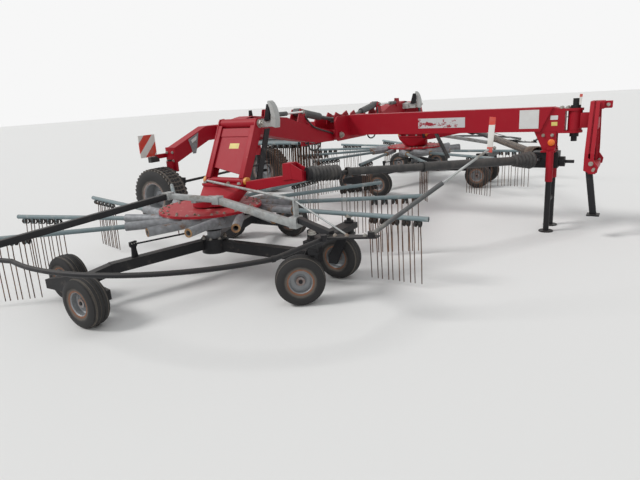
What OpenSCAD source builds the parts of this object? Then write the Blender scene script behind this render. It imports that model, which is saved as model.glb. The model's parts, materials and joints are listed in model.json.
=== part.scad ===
// Twin rotor hay rake on a three-point headstock, with a steered two-wheel rear chassis.
// X points forward to the headstock, Y to the left, Z up. The origin is on the ground,
// under the middle of the whole machine. Both sides come from one set of modules:
// the left side is drawn and the right side is its mirror image.

/* [Main beam] */
// Width of the box beam
beam_w = 200; // [160:5:240]
// Height of the box beam
beam_h = 255; // [220:5:280]
// Height of the beam's underside above the ground
beam_z = 1090; // [1060:5:1120]
// Front end of the box beam
beam_front_x = 2620; // [2500:10:2700]
// Height of the rear chassis beam
rear_beam_h = 180; // [150:5:200]
// Width of the rear chassis beam
rear_beam_w = 160; // [130:5:190]

/* [Rear axle] */
// Distance of the rear axle behind the rotor axes
rear_axle_x = 2250; // [2150:10:2400]
// Half of the distance between the middles of the rear tyres
rear_half_track = 1250; // [1200:10:1350]
// Distance of each steering pivot inboard of the middle of its tyre
kingpin_in = 230; // [200:5:260]
// Outer diameter of a rear tyre
rear_tyre_d = 780; // [740:5:820]
// Width of a rear tyre
rear_tyre_w = 320; // [280:5:340]
// Length of a steering arm
steer_arm = 230; // [180:5:260]

/* [Headstock] */
// Distance of the headstock's swivel pin ahead of the rotor axes
swivel_x = 2830; // [2800:5:2880]
// Diameter of the swivel pin
swivel_d = 60; // [50:2:70]
// Distance of the hitch pins ahead of the rotor axes
hitch_x = 3070; // [3040:5:3100]
// Height of the lower hitch pins
hitch_z = 740; // [700:5:780]
// Distance between the inner faces of the two lower lug pairs
hitch_span = 825; // [780:5:870]
// Diameter of a lower hitch pin
hitch_pin_d = 28; // [22:1:36]
// Height of the top link pin above the lower pins
mast_h = 610; // [560:10:660]
// Diameter of the top link pin
top_pin_d = 25; // [19:1:32]

/* [Booms] */
// Distance of a fold hinge from the centre line
hinge_y = 350; // [330:5:380]
// Height of a fold hinge
hinge_z = 1115; // [1100:5:1130]
// Diameter of a fold hinge pin
hinge_pin_d = 60; // [50:2:70]
// Width of a boom along the machine
boom_w = 180; // [150:5:200]
// Distance of the rotor axes from the centre line
rotor_y = 2650; // [2600:10:2700]

/* [Rotors] */
// Radius of the circle swept by the tine bars
tip_r = 2050; // [1950:10:2100]
// Number of places for tine arms on a rotor
arm_places = 13; // [12:1:13]
// Sideways offset of each tine arm from the rotor axis
arm_offset = 300; // [280:5:320]
// Height of the tine arms
arm_z = 600; // [580:5:620]
// Diameter of a tine arm's tube
arm_d = 44; // [36:1:50]
// Diameter of the rotor head's plate
head_d = 960; // [900:10:1000]
// Turn of the rotor at rest
rotor_turn = 27.7; // [20:0.1:35]
// Number of double tines on an arm
tines_per_arm = 5; // [4:1:5]
// Height of the tine tips above the ground
tine_tip_z = 40; // [20:5:80]
// Diameter of a tine's wire
tine_d = 10; // [8:0.5:12]

/* [Rotor wheels] */
// Outer diameter of a rotor wheel's tyre
wheel_d = 406; // [390:2:420]
// Width of a rotor wheel's tyre
wheel_w = 165; // [150:5:175]
// Distance of the caster pivots inside the circle of the tine bars
caster_inset = 730; // [700:5:760]
// Half of the distance between the two caster pivots
caster_y = 305; // [295:5:330]
// Trail of a caster wheel behind its pivot
caster_trail = 115; // [105:5:130]
// Turn at rest of the near outer caster wheel
caster_turn = 35; // [0:1:60]
// Distance of a rocker pivot behind the rotor axis
rocker_x = 400; // [380:5:420]
// Distance of a rocker pivot from the rotor axis, across the machine
rocker_y = 1240; // [1200:5:1260]
// Distance of each rocker wheel ahead of or behind the rocker pivot
rocker_reach = 345; // [330:5:360]

/* [Stand] */
// Lift of the front stand from the ground to its raised place
stand_lift = 180; // [120:10:220]

/* [Hidden] */

// Running clearance between a pin and its bore, on the radius
run_gap = 0.05;
// Clearance between faces that slide or turn past each other
side_gap = 0.5;
// Clearance between moving pieces that have no bearing between them
free_gap = 12;

// Sizes are measured along X from the rotor axes, which lie behind the middle of the machine
rear_tyre_r = rear_tyre_d / 2;
hitch_front = 100;
mid_x = (hitch_x + hitch_front - rear_axle_x - rear_tyre_r) / 2;
beam_top_z = beam_z + beam_h;
// The pivot frame's two cross plates
plate_t = 20;
plate_x = 150;
plate_half_y = 450;
plate_low_z = 1040;
rear_beam_z = beam_top_z - rear_beam_h - 75;
kingpin_y = rear_half_track - kingpin_in;
// The rear axle's arms end at these plates, which carry the steering pivots
axle_end_y = kingpin_y - 70;
axle_end_t = 40;
axle_end_low_z = 690;
axle_end_top_z = 1030;
// The steering knuckle
knuckle_boss_d = 110;
kingpin_d = 40;
kingpin_low_z = 560;
stub_d = 50;
hub_wall_y = rear_half_track - 60;
track_rod_z = 600;
track_rod_d = 36;
// The headstock
lug_t = 16;
lug_gap = 60;
neck_boss_d = 140;
neck_low_z = beam_z - 20;
top_pin_z = hitch_z + mast_h;
// The boom's profile, as distance from the centre line and height
boom_profile = [
    // [y, z]
    [hinge_y + 30, 1050], [760, 1085], [2020, 1285], [2090, 1310],
    [2090, 1440], [2000, 1452], [1400, 1395], [760, 1280], [hinge_y + 30, 1215]
];
boom_barrel_d = 130;
// The fork that carries the rotor
fork_top_y = 2160;
fork_top_z = 1385;
fork_low_y = 2450;
fork_low_z = 850;
fork_half_x = 200;
fork_leg_t = 60;
// The rotor gearbox and its input arm
gearbox_low_z = 735;
gearbox_top_z = 850;
input_x = 920;
input_y = fork_low_y;
input_z = 955;
// The lift cylinder: its barrel turns on the boom and its rod reaches the pivot frame
cyl_base_y = 1050;
cyl_base_z = 1440;
cyl_eye_y = 220;
cyl_eye_z = 1300;
cyl_d = 90;
cyl_len_barrel = 480;
cyl_pin_d = 40;
rod_d = 45;
rod_in = 60;
cyl_lug_x = 58;
lug_slot = 2 * (cyl_lug_x + free_gap);
// The drive shaft from the centre gearbox to the rotor
drive_x = 2480;
drive_y = 180;
drive_z = 800;
cross_d = 24;
yoke_gap = 56;
ear_gap = 72;
yoke_t = 14;
bell_d = 250;
caster_x = tip_r - caster_inset;
// The rotor head
head_z = 640;
head_t = 22;
bearing_in = 260;
bearing_len = 480;
bearing_d = 78;
post_d = 130;
hub_low_z = 215;
hub_top_z = 350;
bar_len = 500;
coil_d = 48;
// Places of the tine arms that are taken off, counted from the first arm
missing_arms = [8, 9, 10, 11];
arm_list = [for (k = [0 : arm_places - 1]) if (len(search(k, missing_arms)) == 0) k];
// Tubes of the guard, with y measured outward from the rotor axis
guard_d = 34;
guard_tube = 50;
hoop_z = 670;
hoop_r = 1940;
// The hoop runs from its front end to its rear end, as angles from the front
hoop_front = 30;
hoop_rear = 140;
hoop_end = [hoop_r * cos(hoop_rear), hoop_r * sin(hoop_rear), hoop_z];
upper_points = [
    // [x, y, z]
    [hoop_end[0], hoop_end[1], 745], [-1300, 300, 745], [-800, -350, 745], [-400, -300, 800], [-175, -200, 800]
];
wheel_r = wheel_d / 2;
wheel_pin_d = 30;
caster_pin_d = 40;
caster_arm_y = 110;
front_beam_w = 80;
rocker_z = wheel_r + 45;
caster_top_z = 470;
stand_x = 2625;
stand_d = 60;

// Moves a piece so that the origin lies under the middle of the whole machine
module centred() {
    translate([-mid_x, 0, 0]) children();
}

// Copy for one side: 1 is the left side, -1 the right side
module on_side(side) {
    centred()
        if (side > 0) children();
        else mirror([0, 1, 0]) children();
}

// A bar between two points
module bar(a, b, d) {
    v = b - a;
    len_v = norm(v);
    translate(a)
        rotate([0, acos(v[2] / len_v), atan2(v[1], v[0])])
            cylinder(h = len_v, d = d, $fn = 48);
}

// A square tube between two points, with one face kept level
module square_bar(a, b, w) {
    v = b - a;
    len_v = norm(v);
    translate(a)
        rotate([0, acos(v[2] / len_v), atan2(v[1], v[0])])
            translate([-w / 2, -w / 2, 0]) cube([w, w, len_v]);
}

// A cylinder along X from x0 to x1
module rod_x(x0, x1, d, y = 0, z = 0) {
    translate([x0, y, z]) rotate([0, 90, 0]) cylinder(h = x1 - x0, d = d, $fn = 64);
}

// A cylinder along Y from y0 to y1
module rod_y(y0, y1, d, x = 0, z = 0) {
    translate([x, y0, z]) rotate([-90, 0, 0]) cylinder(h = y1 - y0, d = d, $fn = 64);
}

// A plate in the YZ plane, centred on x, from an outline of [y, z] points
module plate_yz(x, t, points) {
    translate([x - t / 2, 0, 0])
        rotate([90, 0, 90]) linear_extrude(t) polygon(points);
}

// A plate in the XZ plane, centred on y, from an outline of [x, z] points
module plate_xz(y, t, points) {
    translate([0, y + t / 2, 0])
        rotate([90, 0, 0]) linear_extrude(t) polygon(points);
}

module main_beam() {
    color([0.62, 0.05, 0.09]) centred() {
        // Front box beam, cut back at the bottom
        translate([0, beam_w / 2, 0]) rotate([90, 0, 0]) linear_extrude(beam_w)
            polygon([
                [plate_x + plate_t / 2, beam_z], [beam_front_x - 120, beam_z],
                [beam_front_x, beam_top_z], [plate_x + plate_t / 2, beam_top_z]
            ]);
        // Tapered neck and the two plates that hold the swivel pin
        difference() {
            union() {
                plate_xz(0, beam_w - 40, [
                    [beam_front_x - 125, beam_z], [swivel_x - 90, beam_z],
                    [swivel_x - 90, beam_top_z - 30], [beam_front_x - 1, beam_top_z]
                ]);
                for (z = [beam_z - 20, beam_top_z - 45])
                    translate([0, 0, z]) linear_extrude(25)
                        union() {
                            translate([swivel_x - 160, -80]) square([160, 160]);
                            translate([swivel_x, 0]) circle(d = 160, $fn = 64);
                        }
            }
            translate([swivel_x, 0, beam_z - 60])
                cylinder(h = beam_h + 120, d = swivel_d + 2 * run_gap, $fn = 96);
        }
    }
}

module pivot_frame() {
    outline = [
        [-plate_half_y, plate_low_z + 60], [-plate_half_y + 60, plate_low_z],
        [plate_half_y - 60, plate_low_z], [plate_half_y, plate_low_z + 60],
        [plate_half_y, 1290], [plate_half_y - 50, beam_top_z],
        [-plate_half_y + 50, beam_top_z], [-plate_half_y, 1290]
    ];
    color([0.66, 0.06, 0.1]) centred() {
        for (s = [-1, 1]) plate_yz(s * plate_x, plate_t, outline);
        // Box between the plates
        translate([-plate_x, -120, plate_low_z + 30]) cube([2 * plate_x, 240, beam_top_z - plate_low_z - 60]);
        // Hinge pins
        for (s = [-1, 1]) rod_x(-plate_x - 25, plate_x + 25, hinge_pin_d, s * hinge_y, hinge_z);
        // Lugs for the lift cylinders
        for (s = [-1, 1]) for (d = [-1, 1])
            plate_yz(d * cyl_lug_x, 14, [
                [s * 120, beam_top_z - 100], [s * 300, beam_top_z - 100],
                [s * 300, cyl_eye_z + 40], [s * 250, cyl_eye_z + 95], [s * 150, cyl_eye_z + 60]
            ]);
    }
}

module rear_beam() {
    color([0.66, 0.06, 0.1]) centred()
        translate([-rear_axle_x - 100, -rear_beam_w / 2, rear_beam_z])
            cube([rear_axle_x + 100 - plate_x - plate_t / 2, rear_beam_w, rear_beam_h]);
}

module rear_axle() {
    arm_outline = [
        [0, rear_beam_z - 30], [260, rear_beam_z - 30], [axle_end_y, axle_end_low_z + 120],
        [axle_end_y, axle_end_top_z], [300, rear_beam_z + rear_beam_h], [0, rear_beam_z + rear_beam_h]
    ];
    color([0.62, 0.05, 0.09]) centred() difference() {
        union() {
            for (s = [-1, 1]) mirror([0, s < 0 ? 1 : 0, 0]) {
                plate_yz(-rear_axle_x, 150, arm_outline);
                translate([-rear_axle_x - 90, axle_end_y, axle_end_low_z])
                    cube([180, axle_end_t, axle_end_top_z - axle_end_low_z]);
                translate([-rear_axle_x, kingpin_y, axle_end_low_z]) cylinder(h = 150, d = 100, $fn = 64);
                translate([-rear_axle_x - 50, axle_end_y + 20, axle_end_low_z])
                    cube([100, kingpin_y - axle_end_y - 20, 150]);
            }
        }
        // Room of the chassis beam
        translate([-rear_axle_x - 101, -rear_beam_w / 2, rear_beam_z])
            cube([202, rear_beam_w, rear_beam_h]);
        // Steering pivot bores
        for (s = [-1, 1])
            translate([-rear_axle_x, s * kingpin_y, axle_end_low_z - 10])
                cylinder(h = 170, d = kingpin_d + 2 * run_gap, $fn = 96);
    }
}

module knuckle(side) {
    color([0.12, 0.12, 0.13]) on_side(side) {
        // Steering pivot pin with its cap
        translate([-rear_axle_x, kingpin_y, kingpin_low_z])
            cylinder(h = axle_end_low_z + 170 - kingpin_low_z, d = kingpin_d, $fn = 96);
        translate([-rear_axle_x, kingpin_y, axle_end_low_z + 150 + side_gap]) cylinder(h = 20, d = 56, $fn = 48);
        // Post below the boss, down to the stub axle
        translate([-rear_axle_x, kingpin_y, rear_tyre_r - 50])
            cylinder(h = axle_end_low_z - side_gap - rear_tyre_r + 50, d = 90, $fn = 64);
        // Steering arm
        translate([-rear_axle_x, kingpin_y - 30, track_rod_z - 12]) cube([steer_arm, 60, 24]);
        translate([-rear_axle_x + steer_arm, kingpin_y, track_rod_z - 12]) cylinder(h = 24, d = 60, $fn = 48);
        // Stub axle
        rod_y(kingpin_y, hub_wall_y + 60, stub_d, -rear_axle_x, rear_tyre_r);
    }
}

module rear_wheel(side) {
    r = rear_tyre_r;
    w = rear_tyre_w / 2;
    color([0.1, 0.1, 0.1]) on_side(side)
        translate([-rear_axle_x, rear_half_track, r]) rotate([-90, 0, 0])
            rotate_extrude($fn = 96) polygon([
                [stub_d / 2 + run_gap, -60], [80, -60], [80, -20], [195, -20], [195, -w + 20],
                [r - 110, -w + 5], [r - 35, -w], [r - 8, -w + 35], [r, -w + 80], [r, w - 80],
                [r - 8, w - 35], [r - 35, w], [r - 110, w - 5], [195, w - 20], [195, 0],
                [80, 0], [80, 30], [stub_d / 2 + run_gap, 30]
            ]);
}

module track_rod() {
    color([0.2, 0.2, 0.2]) centred() {
        rod_y(-kingpin_y, kingpin_y, track_rod_d, -rear_axle_x + steer_arm, track_rod_z - 45);
        for (s = [-1, 1])
            translate([-rear_axle_x + steer_arm, s * kingpin_y, track_rod_z - 70])
                cylinder(h = 58 - side_gap, d = 56, $fn = 48);
    }
}

module marker_boards() {
    color([0.85, 0.2, 0.15]) centred() for (s = [-1, 1]) mirror([0, s < 0 ? 1 : 0, 0]) {
        // Board, its lamp and the bracket from the axle's end plate
        translate([-rear_axle_x - 130, axle_end_y + 180, 930]) cube([12, 282, 300]);
        translate([-rear_axle_x - 150, axle_end_y + 170, 850]) cube([60, 150, 75]);
        translate([-rear_axle_x - 118, axle_end_y + axle_end_t, 890]) cube([28, 200, 60]);
        translate([-rear_axle_x - 118, axle_end_y + 5, 890]) cube([28, 60, 60]);
    }
}

module gearbox_bracket() {
    color([0.62, 0.05, 0.09]) centred() {
        for (s = [-1, 1]) plate_xz(s * 70, 14, [
            [2440, beam_z], [2665, beam_z], [2665, 880], [2540, 880]
        ]);
        translate([2520, -120, 870]) cube([150, 240, 16]);
        // Socket tubes of the stand legs
        for (s = [-1, 1]) difference() {
            translate([stand_x, s * 155, 560]) cylinder(h = 330, d = 76, $fn = 48);
            translate([stand_x, s * 155, 550]) cylinder(h = 350, d = stand_d + 0.6, $fn = 48);
        }
        for (s = [-1, 1]) translate([stand_x - 40, s > 0 ? 60 : -124, 886]) cube([80, 64, 30]);
    }
}

module centre_gearbox() {
    color([0.12, 0.12, 0.12]) centred() {
        translate([2430, -100, 700]) cube([270, 200, 170]);
        rod_x(2699, 2760, 110, 0, drive_z - 40);
        // Input shaft for the drive from the vehicle
        rod_x(2759, 2850, 35, 0, drive_z - 40);
        // Output stubs, each with the two ears of a yoke
        for (s = [-1, 1]) {
            rod_y(s > 0 ? 99 : -125, s > 0 ? 125 : -99, 90, drive_x, drive_z);
            for (d = [-1, 1]) translate([drive_x + d * (ear_gap + yoke_t) / 2, 0, drive_z]) difference() {
                translate([-yoke_t / 2, s > 0 ? 110 : -drive_y - 18, -20]) cube([yoke_t, drive_y - 92, 40]);
                rod_x(-yoke_t, yoke_t, cross_d + 2 * run_gap, s * drive_y, 0);
            }
        }
    }
}

module headstock() {
    color([0.62, 0.05, 0.09]) centred() {
        // Bushing round the swivel pin
        difference() {
            union() {
                translate([swivel_x, 0, beam_z + 5 + side_gap])
                    cylinder(h = beam_h - 50 - 2 * side_gap, d = neck_boss_d, $fn = 96);
                translate([swivel_x, -60, beam_z + 30]) cube([190, 120, beam_h - 100]);
            }
            translate([swivel_x, 0, beam_z - 10]) cylinder(h = beam_h + 20, d = swivel_d + 2 * run_gap, $fn = 96);
        }
        // Top plate and cross beam
        translate([hitch_x - 70, -110, top_pin_z - 40]) cube([100, 220, 80]);
        translate([hitch_x - 70, -130, beam_z + 20]) cube([100, 260, 120]);
        translate([hitch_x - 70, -130, beam_z + 20]) cube([60, 260, top_pin_z - beam_z - 20]);
        // Splayed legs
        for (s = [-1, 1]) plate_yz(hitch_x - 20, 90, [
            [s * 60, top_pin_z + 40], [s * 130, top_pin_z + 40], [s * (hitch_span / 2 - 20), hitch_z + 60],
            [s * (hitch_span / 2 - 20), hitch_z - 70], [s * (hitch_span / 2 - 110), hitch_z - 70],
            [s * (hitch_span / 2 - 110), hitch_z + 60]
        ]);
        // Lower cross tube
        translate([hitch_x - 55, -hitch_span / 2 + 60, hitch_z - 60]) cube([70, hitch_span - 120, 60]);
        // Lower pins
        for (s = [-1, 1]) rod_y(s > 0 ? hitch_span / 2 - 60 : -hitch_span / 2 - 90, s > 0 ? hitch_span / 2 + 90 : -hitch_span / 2 + 60, hitch_pin_d, hitch_x, hitch_z);
        // Top link lugs with their pin holes
        difference() {
            for (s = [-1, 1]) translate([hitch_x + 20, s * 45 - 8, top_pin_z - 35]) cube([hitch_front - 20, 16, 70]);
            rod_y(-75, 75, top_pin_d + 1, hitch_x + 65, top_pin_z);
        }
    }
}

module swivel_pin() {
    color([0.12, 0.12, 0.13]) centred() {
        translate([swivel_x, 0, beam_z - 110]) cylinder(h = beam_h + 190, d = swivel_d, $fn = 96);
        translate([swivel_x, 0, beam_top_z - 20 + side_gap]) cylinder(h = 30, d = 100, $fn = 64);
        translate([swivel_x, 0, beam_z - 60 - side_gap]) cylinder(h = 40, d = 90, $fn = 64);
    }
}

module stand_legs() {
    color([0.12, 0.12, 0.13]) centred() for (s = [-1, 1]) {
        translate([stand_x, s * 155, 10]) cylinder(h = 840, d = stand_d, $fn = 48);
        translate([stand_x, s * 155, 0]) cylinder(h = 12, d = 150, $fn = 64);
    }
    color([0.12, 0.12, 0.13]) centred() translate([stand_x - 15, -155, 325]) cube([30, 310, 40]);
}

// Left boom, with y outward
module boom(side) {
    color([0.66, 0.06, 0.1]) on_side(side) {
        difference() {
            union() {
                plate_yz(0, boom_w, boom_profile);
                rod_x(-plate_x + plate_t / 2 + side_gap, plate_x - plate_t / 2 - side_gap, boom_barrel_d, hinge_y, hinge_z);
                // Top cross tube for the fork, and the lugs of the lift cylinder
                rod_x(-fork_half_x + fork_leg_t + side_gap, fork_half_x - fork_leg_t - side_gap, 110, fork_top_y, fork_top_z);
                plate_yz(0, boom_w, [[2000, 1300], [fork_top_y, fork_top_z - 50], [fork_top_y, fork_top_z + 50], [2000, 1450]]);
                for (d = [-1, 1]) plate_yz(d * 56, 14, [
                    [cyl_base_y - 90, 1290], [cyl_base_y + 90, 1300], [cyl_base_y + 45, cyl_base_z + 40],
                    [cyl_base_y - 45, cyl_base_z + 40]
                ]);
            }
            rod_x(-plate_x, plate_x, hinge_pin_d + 2 * run_gap, hinge_y, hinge_z);
            // Room for the cylinder lugs of the pivot frame when folded
            translate([-lug_slot / 2, hinge_y - 80, hinge_z + 45]) cube([lug_slot, 400, 300]);
        }
        rod_x(-70, 70, cyl_pin_d, cyl_base_y, cyl_base_z);
    }
    // Locking hook and its bracket
    color([0.6, 0.6, 0.58]) on_side(side) {
        translate([boom_w / 2, 1930, 1340]) cube([90, 110, 90]);
        plate_xz(1985, 20, [
            [200, 1330], [255, 1320], [290, 1420], [285, 1520], [255, 1600], [225, 1590], [240, 1510], [235, 1430]
        ]);
        translate([170, 1950, 1350]) cube([50, 70, 70]);
    }
}

module fork(side) {
    color([0.66, 0.06, 0.1]) on_side(side) {
        for (s = [-1, 1]) {
            plate_yz(s * (fork_half_x - fork_leg_t / 2), fork_leg_t, [
                [fork_top_y - 55, fork_top_z - 20], [fork_top_y - 30, fork_top_z + 60], [fork_top_y + 40, fork_top_z + 55],
                [fork_low_y + 60, fork_low_z], [fork_low_y - 60, fork_low_z]
            ]);
        }
        // Plate between the legs
        for (p = [0])
            plate_yz(0, 2 * (fork_half_x - fork_leg_t) + 2, [
                [fork_top_y + 25, fork_top_z - 110], [fork_top_y + 45, fork_top_z - 100],
                [fork_low_y - 70, fork_low_z + 170], [fork_low_y - 95, fork_low_z + 160]
            ]);
        // Base plate on the rotor gearbox
        translate([-fork_half_x - 20, fork_low_y - 130, fork_low_z - 24]) cube([2 * fork_half_x + 40, 400, 25]);
    }
}

module rotor_gearbox(side) {
    color([0.62, 0.05, 0.09]) on_side(side) {
        difference() {
            union() {
                translate([0, rotor_y, gearbox_low_z]) cylinder(h = gearbox_top_z - gearbox_low_z - 24, d = 420, $fn = 96);
                translate([0, rotor_y, gearbox_low_z]) cylinder(h = 40, d = 520, $fn = 96);
                // Input arm and its upright
                translate([150, input_y - 55, 760]) cube([input_x - 110, 110, 60]);
                translate([input_x - 70, input_y - 60, 760]) cube([110, 120, 300]);
            }
        }
        // Guard bell, open toward the drive shaft
        difference() {
            bar(shaft_b + 60 * shaft_unit, shaft_b - 90 * shaft_unit, bell_d);
            bar(shaft_b + 20 * shaft_unit, shaft_b - 100 * shaft_unit, bell_d - 12);
        }
    }
    color([0.1, 0.1, 0.1]) on_side(side) {
        // Central post through the rotor head
        translate([0, rotor_y, hub_top_z]) cylinder(h = gearbox_low_z - hub_top_z, d = post_d, $fn = 64);
    }
}

// A wheel with its tyre, its axis along Y
module small_wheel() {
    r = wheel_r;
    w = wheel_w / 2;
    color([0.1, 0.1, 0.1]) rotate([-90, 0, 0]) rotate_extrude($fn = 64) polygon([
        [wheel_pin_d / 2 + run_gap, -45], [40, -45], [40, -8], [100, -8], [105, -w + 12], [r - 60, -w], [r - 18, -w + 8],
        [r, -w + 35], [r, w - 35], [r - 18, w - 8], [r - 60, w], [105, w - 12], [100, 8], [40, 8], [40, 45],
        [wheel_pin_d / 2 + run_gap, 45]
    ]);
}

module carriage(side) {
    color([0.12, 0.12, 0.13]) on_side(side) translate([0, rotor_y, 0]) {
        translate([0, 0, hub_low_z]) cylinder(h = hub_top_z - hub_low_z, d = 260, $fn = 64);
        // Front beam and the cross axle of the casters
        translate([0, -front_beam_w / 2, 230]) cube([caster_x - 130, front_beam_w, 100]);
        translate([caster_x - 220, -front_beam_w / 2, 230]) cube([90, front_beam_w, 285]);
        translate([caster_x - 220, -front_beam_w / 2, caster_top_z]) cube([220, front_beam_w, 50]);
        difference() {
            union() {
                translate([caster_x - 60, -caster_y - 45, caster_top_z]) cube([120, 2 * caster_y + 90, 50]);
                for (s = [-1, 1])
                    translate([caster_x, s * caster_y, caster_top_z - 20]) cylinder(h = 90, d = 84, $fn = 64);
            }
            for (s = [-1, 1])
                translate([caster_x, s * caster_y, caster_top_z - 30])
                    cylinder(h = 110, d = caster_pin_d + 2 * run_gap, $fn = 64);
        }
        // Side beams down to the rocker pivots
        for (s = [-1, 1]) mirror([0, s < 0 ? 1 : 0, 0]) {
            square_bar([-60, 90, 300], [-rocker_x + 60, rocker_y - 300, rocker_z + 40], 90);
            square_bar([-rocker_x + 65, rocker_y - 330, rocker_z + 40], [-rocker_x, rocker_y - 130, rocker_z], 90);
            rod_y(rocker_y - 140, rocker_y - 31, 80, -rocker_x, rocker_z);
            rod_y(rocker_y - 140, rocker_y + 40, 50, -rocker_x, rocker_z);
        }
    }
}

module rockers(side) {
    color([0.12, 0.12, 0.13]) on_side(side) translate([0, rotor_y, 0])
        for (s = [-1, 1]) mirror([0, s < 0 ? 1 : 0, 0]) {
            difference() {
                plate_xz(rocker_y, 60, [
                    [-rocker_x + rocker_reach + 45, wheel_r - 45], [-rocker_x + rocker_reach + 45, wheel_r + 35],
                    [-rocker_x + 70, rocker_z + 55], [-rocker_x - 70, rocker_z + 55],
                    [-rocker_x - rocker_reach - 45, wheel_r + 35], [-rocker_x - rocker_reach - 45, wheel_r - 45]
                ]);
                rod_y(rocker_y - 60, rocker_y + 60, 50, -rocker_x, rocker_z);
            }
            // Stub axles: the front wheel stands outside and the rear wheel inside
            rod_y(rocker_y + 29, rocker_y + 210, wheel_pin_d, -rocker_x + rocker_reach, wheel_r);
            rod_y(rocker_y - 210, rocker_y - 29, wheel_pin_d, -rocker_x - rocker_reach, wheel_r);
        }
}

function rest_turn(side, s) = (side < 0 && s > 0) ? -caster_turn : 0;

// Caster fork; s is 1 on the rotor's outer side and -1 on its inner side
module caster(side, s) {
    color([0.12, 0.12, 0.13]) on_side(side)
        translate([caster_x, rotor_y + s * caster_y, 0]) rotate([0, 0, rest_turn(side, s)]) mirror([0, s < 0 ? 1 : 0, 0]) {
            translate([0, 0, caster_top_z - 60]) cylinder(h = 160, d = caster_pin_d, $fn = 64);
            translate([0, 0, caster_top_z - 41]) cylinder(h = 20.5, d = 84, $fn = 64);
            // Arm beside the wheel, on the side of the rotor's beam
            translate([-40, -caster_arm_y - 12, caster_top_z - 60]) cube([80, caster_arm_y + 52, 20]);
            plate_xz(-caster_arm_y, 24, [
                [-40, caster_top_z - 45], [40, caster_top_z - 45], [-caster_trail + 40, wheel_r - 40],
                [-caster_trail - 40, wheel_r - 40], [-caster_trail - 40, wheel_r + 30]
            ]);
            rod_y(-caster_arm_y, 60, wheel_pin_d, -caster_trail, wheel_r);
        }
}

module caster_wheel(side, s) {
    on_side(side)
        translate([caster_x, rotor_y + s * caster_y, 0]) rotate([0, 0, rest_turn(side, s)])
            translate([-caster_trail, 0, wheel_r]) small_wheel();
}

// Rocker wheel; s is 1 on the outer rocker, f is 1 for the front wheel
module rocker_wheel(side, s, f) {
    on_side(side)
        translate([-rocker_x + f * rocker_reach, rotor_y + s * (rocker_y + f * 160), wheel_r]) small_wheel();
}

module guard(side) {
    color([0.12, 0.12, 0.13]) on_side(side) translate([0, rotor_y, 0]) {
        // Hoop round the outer half, with a post at its rear end
        translate([0, 0, hoop_z]) rotate([0, 0, hoop_front])
            rotate_extrude(angle = hoop_rear - hoop_front, $fn = 180)
                translate([hoop_r, 0]) circle(d = guard_d, $fn = 24);
        translate(hoop_end - [0, 0, 30]) cylinder(h = 120, d = 90, $fn = 64);
        // Straight end toward the front
        rotate([0, 0, hoop_front]) {
            rod_y(-420, -5, guard_d, hoop_r, hoop_z);
            rod_y(-20, 20, guard_d + 10, hoop_r, hoop_z);
        }
    }
    color([0.6, 0.6, 0.6]) on_side(side) translate([0, rotor_y, 0]) {
        for (i = [0 : len(upper_points) - 2])
            square_bar(upper_points[i], upper_points[i + 1], guard_tube + 2 * ((i + 1) % 2));
    }
}

module rotor_head(side) {
    color([0.66, 0.06, 0.1]) on_side(side) translate([0, rotor_y, 0])
        difference() {
            translate([0, 0, head_z]) cylinder(h = head_t, d = head_d, $fn = 128);
            translate([0, 0, head_z - 10]) cylinder(h = head_t + 20, d = post_d + 2 * run_gap, $fn = 96);
        }
    color([0.5, 0.51, 0.52]) on_side(side) translate([0, rotor_y, 0]) difference() {
        translate([0, 0, arm_z - 110]) cylinder(h = head_z - arm_z + 110, d = 560, $fn = 96);
        translate([0, 0, arm_z - 120]) cylinder(h = head_z - arm_z + 140, d = post_d + 2 * run_gap, $fn = 96);
    }
}

// Bearing housings of the tine arms, hung under the rotor head's plate
module arm_bearings(side) {
    color([0.5, 0.51, 0.52]) on_side(side) translate([0, rotor_y, 0])
        for (k = [0 : arm_places - 1])
            rotate([0, 0, -rotor_turn - k * 360 / arm_places]) difference() {
                union() {
                    rod_x(bearing_in, bearing_in + bearing_len, bearing_d, -arm_offset, arm_z);
                    translate([bearing_in + 10, -arm_offset - 28, arm_z]) cube([90, 56, head_z - arm_z]);
                }
                if (len(search(k, missing_arms)) == 0)
                    rod_x(bearing_in - 5, bearing_in + bearing_len + 5, arm_d, -arm_offset, arm_z);
                else
                    rod_x(bearing_in + 120, bearing_in + bearing_len + 5, arm_d, -arm_offset, arm_z);
            }
}

// Tine arms of one rotor: tube, coils and tines
module tine_arms(side) {
    pitch = bar_len / tines_per_arm;
    color([0.42, 0.5, 0.53]) on_side(side) translate([0, rotor_y, 0])
        for (k = arm_list)
            rotate([0, 0, -rotor_turn - k * 360 / arm_places]) {
                rod_x(260, tip_r, arm_d, -arm_offset, arm_z);
                for (i = [0 : tines_per_arm - 1]) {
                    x0 = tip_r - 40 - (i + 0.5) * pitch;
                    rod_x(x0 - 36, x0 + 36, coil_d, -arm_offset, arm_z - 42);
                    for (d = [-1, 1])
                        translate([x0 + d * 28, -arm_offset, tine_tip_z])
                            cylinder(h = arm_z - 42 - tine_tip_z, d = tine_d, $fn = 16);
                }
            }
}

// Line of the lift cylinder, from the boom's pin to the pivot frame
cyl_vec = [0, cyl_eye_y - cyl_base_y, cyl_eye_z - cyl_base_z];
cyl_len = norm(cyl_vec);
cyl_unit = cyl_vec / cyl_len;

module cylinder_barrel(side) {
    base = [0, cyl_base_y, cyl_base_z];
    color([0.12, 0.12, 0.13]) on_side(side) difference() {
        union() {
            rod_x(-40, 40, 86, cyl_base_y, cyl_base_z);
            difference() {
                bar(base + 25 * cyl_unit, base + cyl_len_barrel * cyl_unit, cyl_d);
                bar(base + 70 * cyl_unit, base + (cyl_len_barrel + 10) * cyl_unit, rod_d + 0.6);
            }
        }
        rod_x(-80, 80, cyl_pin_d + 2 * run_gap, cyl_base_y, cyl_base_z);
    }
}

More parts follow.
